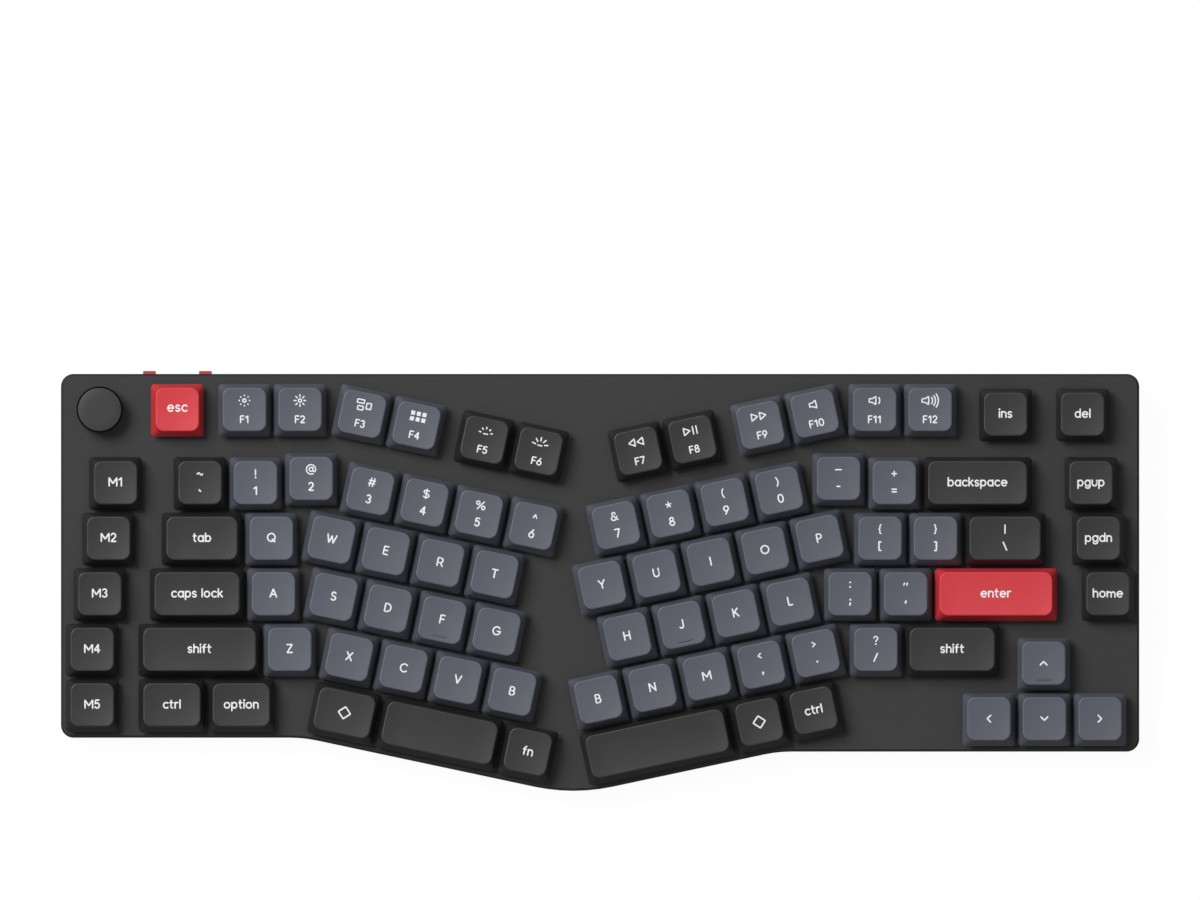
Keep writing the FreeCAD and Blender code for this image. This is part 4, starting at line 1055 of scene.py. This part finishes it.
# %% [markdown]
# One tree turns strokes into plastic: each run of edges becomes a curve, a flattened circle is
# swept along it at the stroke's own width, and a flattened ball rounds off each end. The same
# tree, less flat, makes the small bars by which fingers find the home keys.

# %% Bare edges for the tree
def runs_mesh(runs):
    """Edges through runs of points, which know half the width of their stroke."""
    points, edges, halves = [], [], []
    for run, half_width in runs:
        first = len(points)
        points += run
        edges += [(index, index + 1) for index in range(first, len(points) - 1)]
        halves += [half_width] * len(run)
    mesh = bpy.data.meshes.new("strokes")
    mesh.from_pydata(points, edges, [])
    mesh.attributes.new("half_width", "FLOAT", "POINT").data.foreach_set("value", halves)
    return mesh


# %% A tree that sweeps strokes
ROUND_SIDES = 8            # sides of a swept stroke
BALL_SEGMENTS, BALL_RINGS = 10, 4


def stroke_tree():
    tree, given = new_tree("Sweep strokes", (("Flatness", "NodeSocketFloat"),
                                             ("Finish", "NodeSocketMaterial")))
    wire = Wire(tree)
    half = wire.node("GeometryNodeInputNamedAttribute", {"data_type": "FLOAT"},
                     {"Name": "half_width"})
    curve = wire.node("GeometryNodeMeshToCurve", {}, {"Mesh": given["Geometry"]})
    level = wire.node("GeometryNodeSetCurveNormal", {"mode": "Z_UP"}, {"Curve": curve})
    profile = wire.node("GeometryNodeCurvePrimitiveCircle", {},
                        {"Resolution": ROUND_SIDES, "Radius": 1.0})
    squash = wire.node("ShaderNodeCombineXYZ", {}, {"X": 1.0, "Y": given["Flatness"], "Z": 1.0})
    oval = wire.node("GeometryNodeTransform", {}, {"Geometry": profile, "Scale": squash})
    swept = wire.node("GeometryNodeCurveToMesh", {}, {
        "Curve": level, "Profile Curve": oval, "Scale": half, "Fill Caps": True})
    ball = wire.node("GeometryNodeMeshUVSphere", {},
                     {"Segments": BALL_SEGMENTS, "Rings": BALL_RINGS, "Radius": 1.0})
    flat = wire.node("ShaderNodeCombineXYZ", {}, {"X": 1.0, "Y": 1.0, "Z": given["Flatness"]})
    pebble = wire.node("GeometryNodeTransform", {}, {"Geometry": ball, "Scale": flat})
    tips = wire.node("GeometryNodeCurveEndpointSelection")
    ends = wire.node("GeometryNodeInstanceOnPoints", {}, {
        "Points": level, "Selection": tips, "Instance": pebble, "Scale": half})
    both = wire.node("GeometryNodeJoinGeometry")
    for part in (swept, ends):
        feed(both.socket.node.inputs["Geometry"], part)
    return end_tree(tree, both, given["Finish"])


sweep = stroke_tree()

# %% Print the legends and raise the homing bars
LEGEND_FLATNESS, BAR_FLATNESS = 0.16, 1.1       # height of a stroke in shares of its width
HOMING_LEGENDS = ("F", "J", "up")       # keys with a bar that fingers can feel
BAR_LENGTH, BAR_HALF_WIDTH = 4.85, 0.3
BAR_FROM_FRONT = 1.9


def bar_strokes(key):
    """The raised bar near the front edge of a home key, or nothing."""
    if key["legend"] not in HOMING_LEGENDS:
        return []
    front = -(UNIT - CAP_GAP - CAP_TAPER) / 2 + BAR_FROM_FRONT
    return [(bars(-BAR_LENGTH / 2, front, BAR_LENGTH / 2, front)[0], BAR_HALF_WIDTH)]


printed = 0
for node, group in keys.items():
    for ending, strokes_of, flatness, finish in (
            ("_legends", legend_strokes, LEGEND_FLATNESS, white_print),
            ("_homing_bar", bar_strokes, BAR_FLATNESS, finishes[slots[node]])):
        runs = laid_on_tops(group, strokes_of)
        if runs:
            piece = grow(node + ending, runs_mesh(runs), sweep,
                         {"Flatness": flatness, "Finish": finish})
            settle(piece, node)
            printed += len(piece.data.polygons)
print(printed, "faces in the legends and homing bars")

# %% [markdown]
# Each switch holds a coil spring between its base and the pocket of its stem. The construction
# has a plain tube in that place. A spring is a stroke too, only one that climbs round and round,
# so the same tree sweeps its wire. The springs of one node of keys are one piece, and it stays
# with the case.

# %% Wind the springs
SPRING_FOOT, SPRING_TOP = -3.2, 2.0     # heights in millimetres at rest
SPRING_MIDDLE, WIRE_HALF_WIDTH = 1.68, 0.2      # radius of the coil's middle line
TURNS, STEPS_A_TURN, FLAT_TURNS = 8, 14, 1


def coil():
    """The middle line of one spring: closed flat turns at both ends, open ones between."""
    low, high = SPRING_FOOT + WIRE_HALF_WIDTH, SPRING_TOP - WIRE_HALF_WIDTH
    lift = 2 * WIRE_HALF_WIDTH * FLAT_TURNS
    stops = ((0, low), (FLAT_TURNS, low + lift), (TURNS - FLAT_TURNS, high - lift), (TURNS, high))
    points = []
    for step in range(TURNS * STEPS_A_TURN + 1):
        turn = step / STEPS_A_TURN
        before, after = next(pair for pair in zip(stops, stops[1:]) if turn <= pair[1][0])
        share = (turn - before[0]) / (after[0] - before[0])
        height = before[1] + (after[1] - before[1]) * share
        angle = math.tau * turn
        points.append((SPRING_MIDDLE * math.cos(angle), SPRING_MIDDLE * math.sin(angle), height))
    return points


spring_pieces = []
for node, group in keys.items():
    coils = [[(key["place"].x + x, key["place"].y + y, z) for x, y, z in coil()] for key in group]
    springs = grow(node + "_springs", runs_mesh([(run, WIRE_HALF_WIDTH) for run in coils]), sweep,
                   {"Flatness": 1.0, "Finish": finishes["spring_steel"]})
    settle(springs, "case")
    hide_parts("switch_springs")
    spring_pieces.append(springs)
    press = joints[node + "_press"]
    travel = max(press["range_m"]) / MILLIMETRE
    1 - travel / (SPRING_TOP - SPRING_FOOT)
    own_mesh(springs)
print(sum(len(piece.data.polygons) for piece in spring_pieces), "faces in the springs")

# %% [markdown]
# The knob is a lathe part. Its body has fine grooves for the fingers all round, and a dark colour
# that is painted shade for its side wall. A matte black ring closes it, painted shade for the dark
# gap round its top, and a paler faced disc lies on top, a little smaller, so the ring frames it
# from above. A skin through circles of equally many points is all that the three need, and every
# second point of the side stands inwards by a hair, which makes the grooves.

# %% The knob
FINGER_GROOVES = 72
GROOVE_DEPTH = 0.09
GROOVED = (2.4, 7.2)       # heights between which the side has its grooves
SHARP_ANGLE = math.radians(28)
KNOB_BODY = (              # radius and height of each ring of the skin, from the foot up
    (3.0, 1.6), (7.45, 1.6), (7.75, 1.72), (7.9, 1.95), (7.9, 2.3), (7.9, 2.45), (7.9, 7.1),
    (7.9, 7.25), (7.84, 7.32), (3.0, 7.32),
)
# the ring of painted shade that frames the disc from above
KNOB_RING = (
    (3.0, 7.25), (7.82, 7.25), (7.9, 7.36), (7.9, 7.75), (7.86, 7.92), (7.74, 8.0), (7.6, 8.0),
    (7.52, 7.6), (3.0, 7.6),
)
KNOB_DISC = (
    (3.0, 7.5), (7.42, 7.5), (7.42, 8.22), (7.39, 8.32), (7.31, 8.38), (7.21, 8.4), (4.0, 8.4),
    (0.6, 8.4),
)


def turned_piece(name, profile, finish):
    rings = []
    count = FINGER_GROOVES * 2
    for radius, height in profile:
        depth = GROOVE_DEPTH if GROOVED[0] < height < GROOVED[1] else 0
        circle = []
        for step in range(count):
            angle = math.tau * step / count
            reach = radius - step % 2 * depth
            x, y = knob_x + reach * math.cos(angle), knob_y + reach * math.sin(angle)
            circle.append((x, y, height))
        rings.append(circle)
    mesh = smooth_mesh(name, *skin(rings))
    mesh.set_sharp_from_angle(angle=SHARP_ANGLE)
    mesh.materials.append(finish)
    return settle(new_object(name, mesh), "knob")


# painted shade: the knob body's dark colour stands for its side wall lying in shadow
painted_side_shade = blasted_metal("knob_dark_dye", linear(24, 24, 24), 0.6)
# painted shade: the matte black ring stands for the dark gap round the knob's top
painted_gap_shade = moulded("knob_ring_black", linear(8, 8, 8), 0.7, gloss=0.03)
knob_pieces = [
    turned_piece("knob_body", KNOB_BODY, painted_side_shade),
    turned_piece("knob_ring", KNOB_RING, painted_gap_shade),
    turned_piece("knob_disc", KNOB_DISC, finishes["knob_metal"]),
]
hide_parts("knob")
print("knob", sum(len(piece.data.polygons) for piece in knob_pieces), "faces")

# %% [markdown]
# Two red fingers stand out of the back edge. A fingernail pushes them sideways, so each has a few
# upright ridges: the stroke tree sweeps them as well. Their blocks come from the construction,
# as do the feet and the tray. A mould leaves no knife-sharp edge, so a small bevel softens the
# blocks and the feet. A construction mesh is loose triangles, which is why a weld comes before
# the bevel.

# %% Slider ridges and soft edges
SLIDER_MIDDLES = {"power_slider": case_left + 30.35, "mode_slider": case_left + 49.55}
SLIDER_REACH = 1.0         # how far a finger stands out of the back edge
RIDGES = 4                 # on each finger
RIDGE_LOW, RIDGE_HIGH = -7.0, -5.7      # heights of their ends, below the deck's top face
RIDGE_HALF_WIDTH = 0.18
RIDGE_GAP = 1.0
SOFT_EDGES = {"power_slider": 0.2, "mode_slider": 0.2, "left_tilt_foot": 0.3,
              "right_tilt_foot": 0.3, "rubber_feet": 0.4}       # width of each bevel
BEVEL_STEPS = 3
WELD_REACH = 0.001


def ridge_runs(middle):
    """Upright strokes side by side on the face of a slider's finger."""
    face = case_back + SLIDER_REACH - RIDGE_HALF_WIDTH / 2
    places = [middle + (index - (RIDGES - 1) / 2) * RIDGE_GAP for index in range(RIDGES)]
    return [([(x, face, RIDGE_LOW), (x, face, RIDGE_HIGH)], RIDGE_HALF_WIDTH) for x in places]


for node, middle in SLIDER_MIDDLES.items():
    ridges = grow(node + "_ridges", runs_mesh(ridge_runs(middle)), sweep,
                  {"Flatness": 1.0, "Finish": finishes["slider_red"]})
    settle(ridges, node)
for node, width in SOFT_EDGES.items():
    piece = frame["nodes"][node]
    piece.modifiers.new("weld", "WELD").merge_threshold = WELD_REACH * MILLIMETRE
    bevel = piece.modifiers.new("bevel", "BEVEL")
    bevel.width = width * MILLIMETRE
    bevel.segments = BEVEL_STEPS
    bevel.limit_method = "ANGLE"
    bevel.harden_normals = True
print(len(SOFT_EDGES), "construction pieces with softened edges")

# %% [markdown]
# The camera looks straight down on the deck from far away, so the view has no perspective, and
# it stands a little behind the keyboard's middle, which leaves the empty space at the top.

# %% Camera
VIEW_WIDTH = 411.5         # what the picture's width covers, in millimetres
VIEW_MIDDLE = (-0.07, 45.4)     # middle of the picture on the deck, in millimetres
VIEW_HEIGHT = 900          # camera above the deck, in millimetres
camera = new_object("camera", bpy.data.cameras.new("camera"))
camera.data.type = "ORTHO"
camera.data.ortho_scale = VIEW_WIDTH * MILLIMETRE
camera.data.clip_start, camera.data.clip_end = 0.05, 10
camera_place = Matrix.Translation(DECK @ Vector((*VIEW_MIDDLE, VIEW_HEIGHT)))
camera.matrix_world = camera_place @ DECK.to_3x3().normalized().to_4x4()
scene.camera = camera
print("camera stands", round(camera_place.translation.z, 2), "m above the table")

# %% [markdown]
# One large soft light hangs far away at the back left, so the tops are bright, the steep sides
# fall dark, and short soft shadows lie to the right. The world fills them by a third. The floor
# looks white to the camera and keeps a faint shadow, but throws less light back than white paper
# would, because the keyboard's front sides are dark in the photograph.

# %% The lamp
LAMP_PLACE, LAMP_SIZE = (-1.65, 1.2, 2.8), 1.9      # metres
LAMP_POWER = 108           # watts

scene.view_settings.view_transform = "Standard"
softbox = bpy.data.lights.new("softbox", "AREA")
softbox.shape = "DISK"
softbox.size = LAMP_SIZE
softbox.energy = LAMP_POWER
lamp = new_object("softbox", softbox)
lamp.location = LAMP_PLACE
lamp.rotation_euler = (-lamp.location).to_track_quat("-Z", "Y").to_euler()
print("lamp stands", round(lamp.location.length, 2), "m away")

# %% The world
FILL_LIGHT = 0.32          # what the world throws on the object; the camera sees 1
MIRRORED_WHITE = 0.2       # share of the white backdrop that shines back from gloss
WHITE = (1, 1, 1, 1)


def rays(wire, kind):
    """A mask that is 1 for rays of one kind."""
    return wire.node("ShaderNodeLightPath", out="Is " + kind + " Ray")


world = bpy.data.worlds.new("studio")
world.use_nodes = True
scene.world = world
sky = Wire(world.node_tree)
clear = sky.math("MAXIMUM", rays(sky, "Glossy") * MIRRORED_WHITE, rays(sky, "Transmission"))
whiteness = sky.math("MAXIMUM", rays(sky, "Camera"), clear)
backdrop = world.node_tree.nodes["Background"]
feed(backdrop.inputs["Color"], WHITE)
feed(backdrop.inputs["Strength"], whiteness * (1 - FILL_LIGHT) + FILL_LIGHT)
print("world fills with", FILL_LIGHT)

# %% The floor
FLOOR_HALF = 3             # half the floor's side, in metres
FLOOR_DROP = 0.05          # the floor below the feet, in millimetres
FLOOR_GREY = 0.09          # how much light it throws back
GLOW = 2.4                 # brightness of the white that lies over it
SEEN_GLOW, MIRRORED_GLOW = 0.4, 0.015       # share of that white, seen and mirrored


def white_floor():
    """A grey floor that glows white for the camera, so that its shadows stay faint."""
    corners = [(x * FLOOR_HALF, y * FLOOR_HALF, -FLOOR_DROP * MILLIMETRE)
               for x, y in ((-1, -1), (1, -1), (1, 1), (-1, 1))]
    mesh = smooth_mesh("floor", corners, [(0, 1, 2, 3)])
    finish = Finish("floor_white")
    finish.fill((FLOOR_GREY, FLOOR_GREY, FLOOR_GREY, 1), 0.9)
    start = finish.start
    share = rays(start, "Camera") * SEEN_GLOW + rays(start, "Glossy") * MIRRORED_GLOW
    glow = start.node("ShaderNodeEmission", {}, {"Color": WHITE, "Strength": GLOW})
    matte = Wire(finish.tree, finish.shader.outputs[0])
    both = start.node("ShaderNodeMixShader", {}, {0: share, 1: matte, 2: glow})
    feed(finish.tree.nodes["Material Output"].inputs["Surface"], both)
    mesh.materials.append(finish.material)
    new_object("floor", mesh)


white_floor()
print("floor", 2 * FLOOR_HALF, "m wide")

# %% [markdown]
# The last cell removes the master caps, which served only as pieces for the tree.

# %% Remove the master caps
for master in cap_masters.values():
    bpy.data.objects.remove(master)
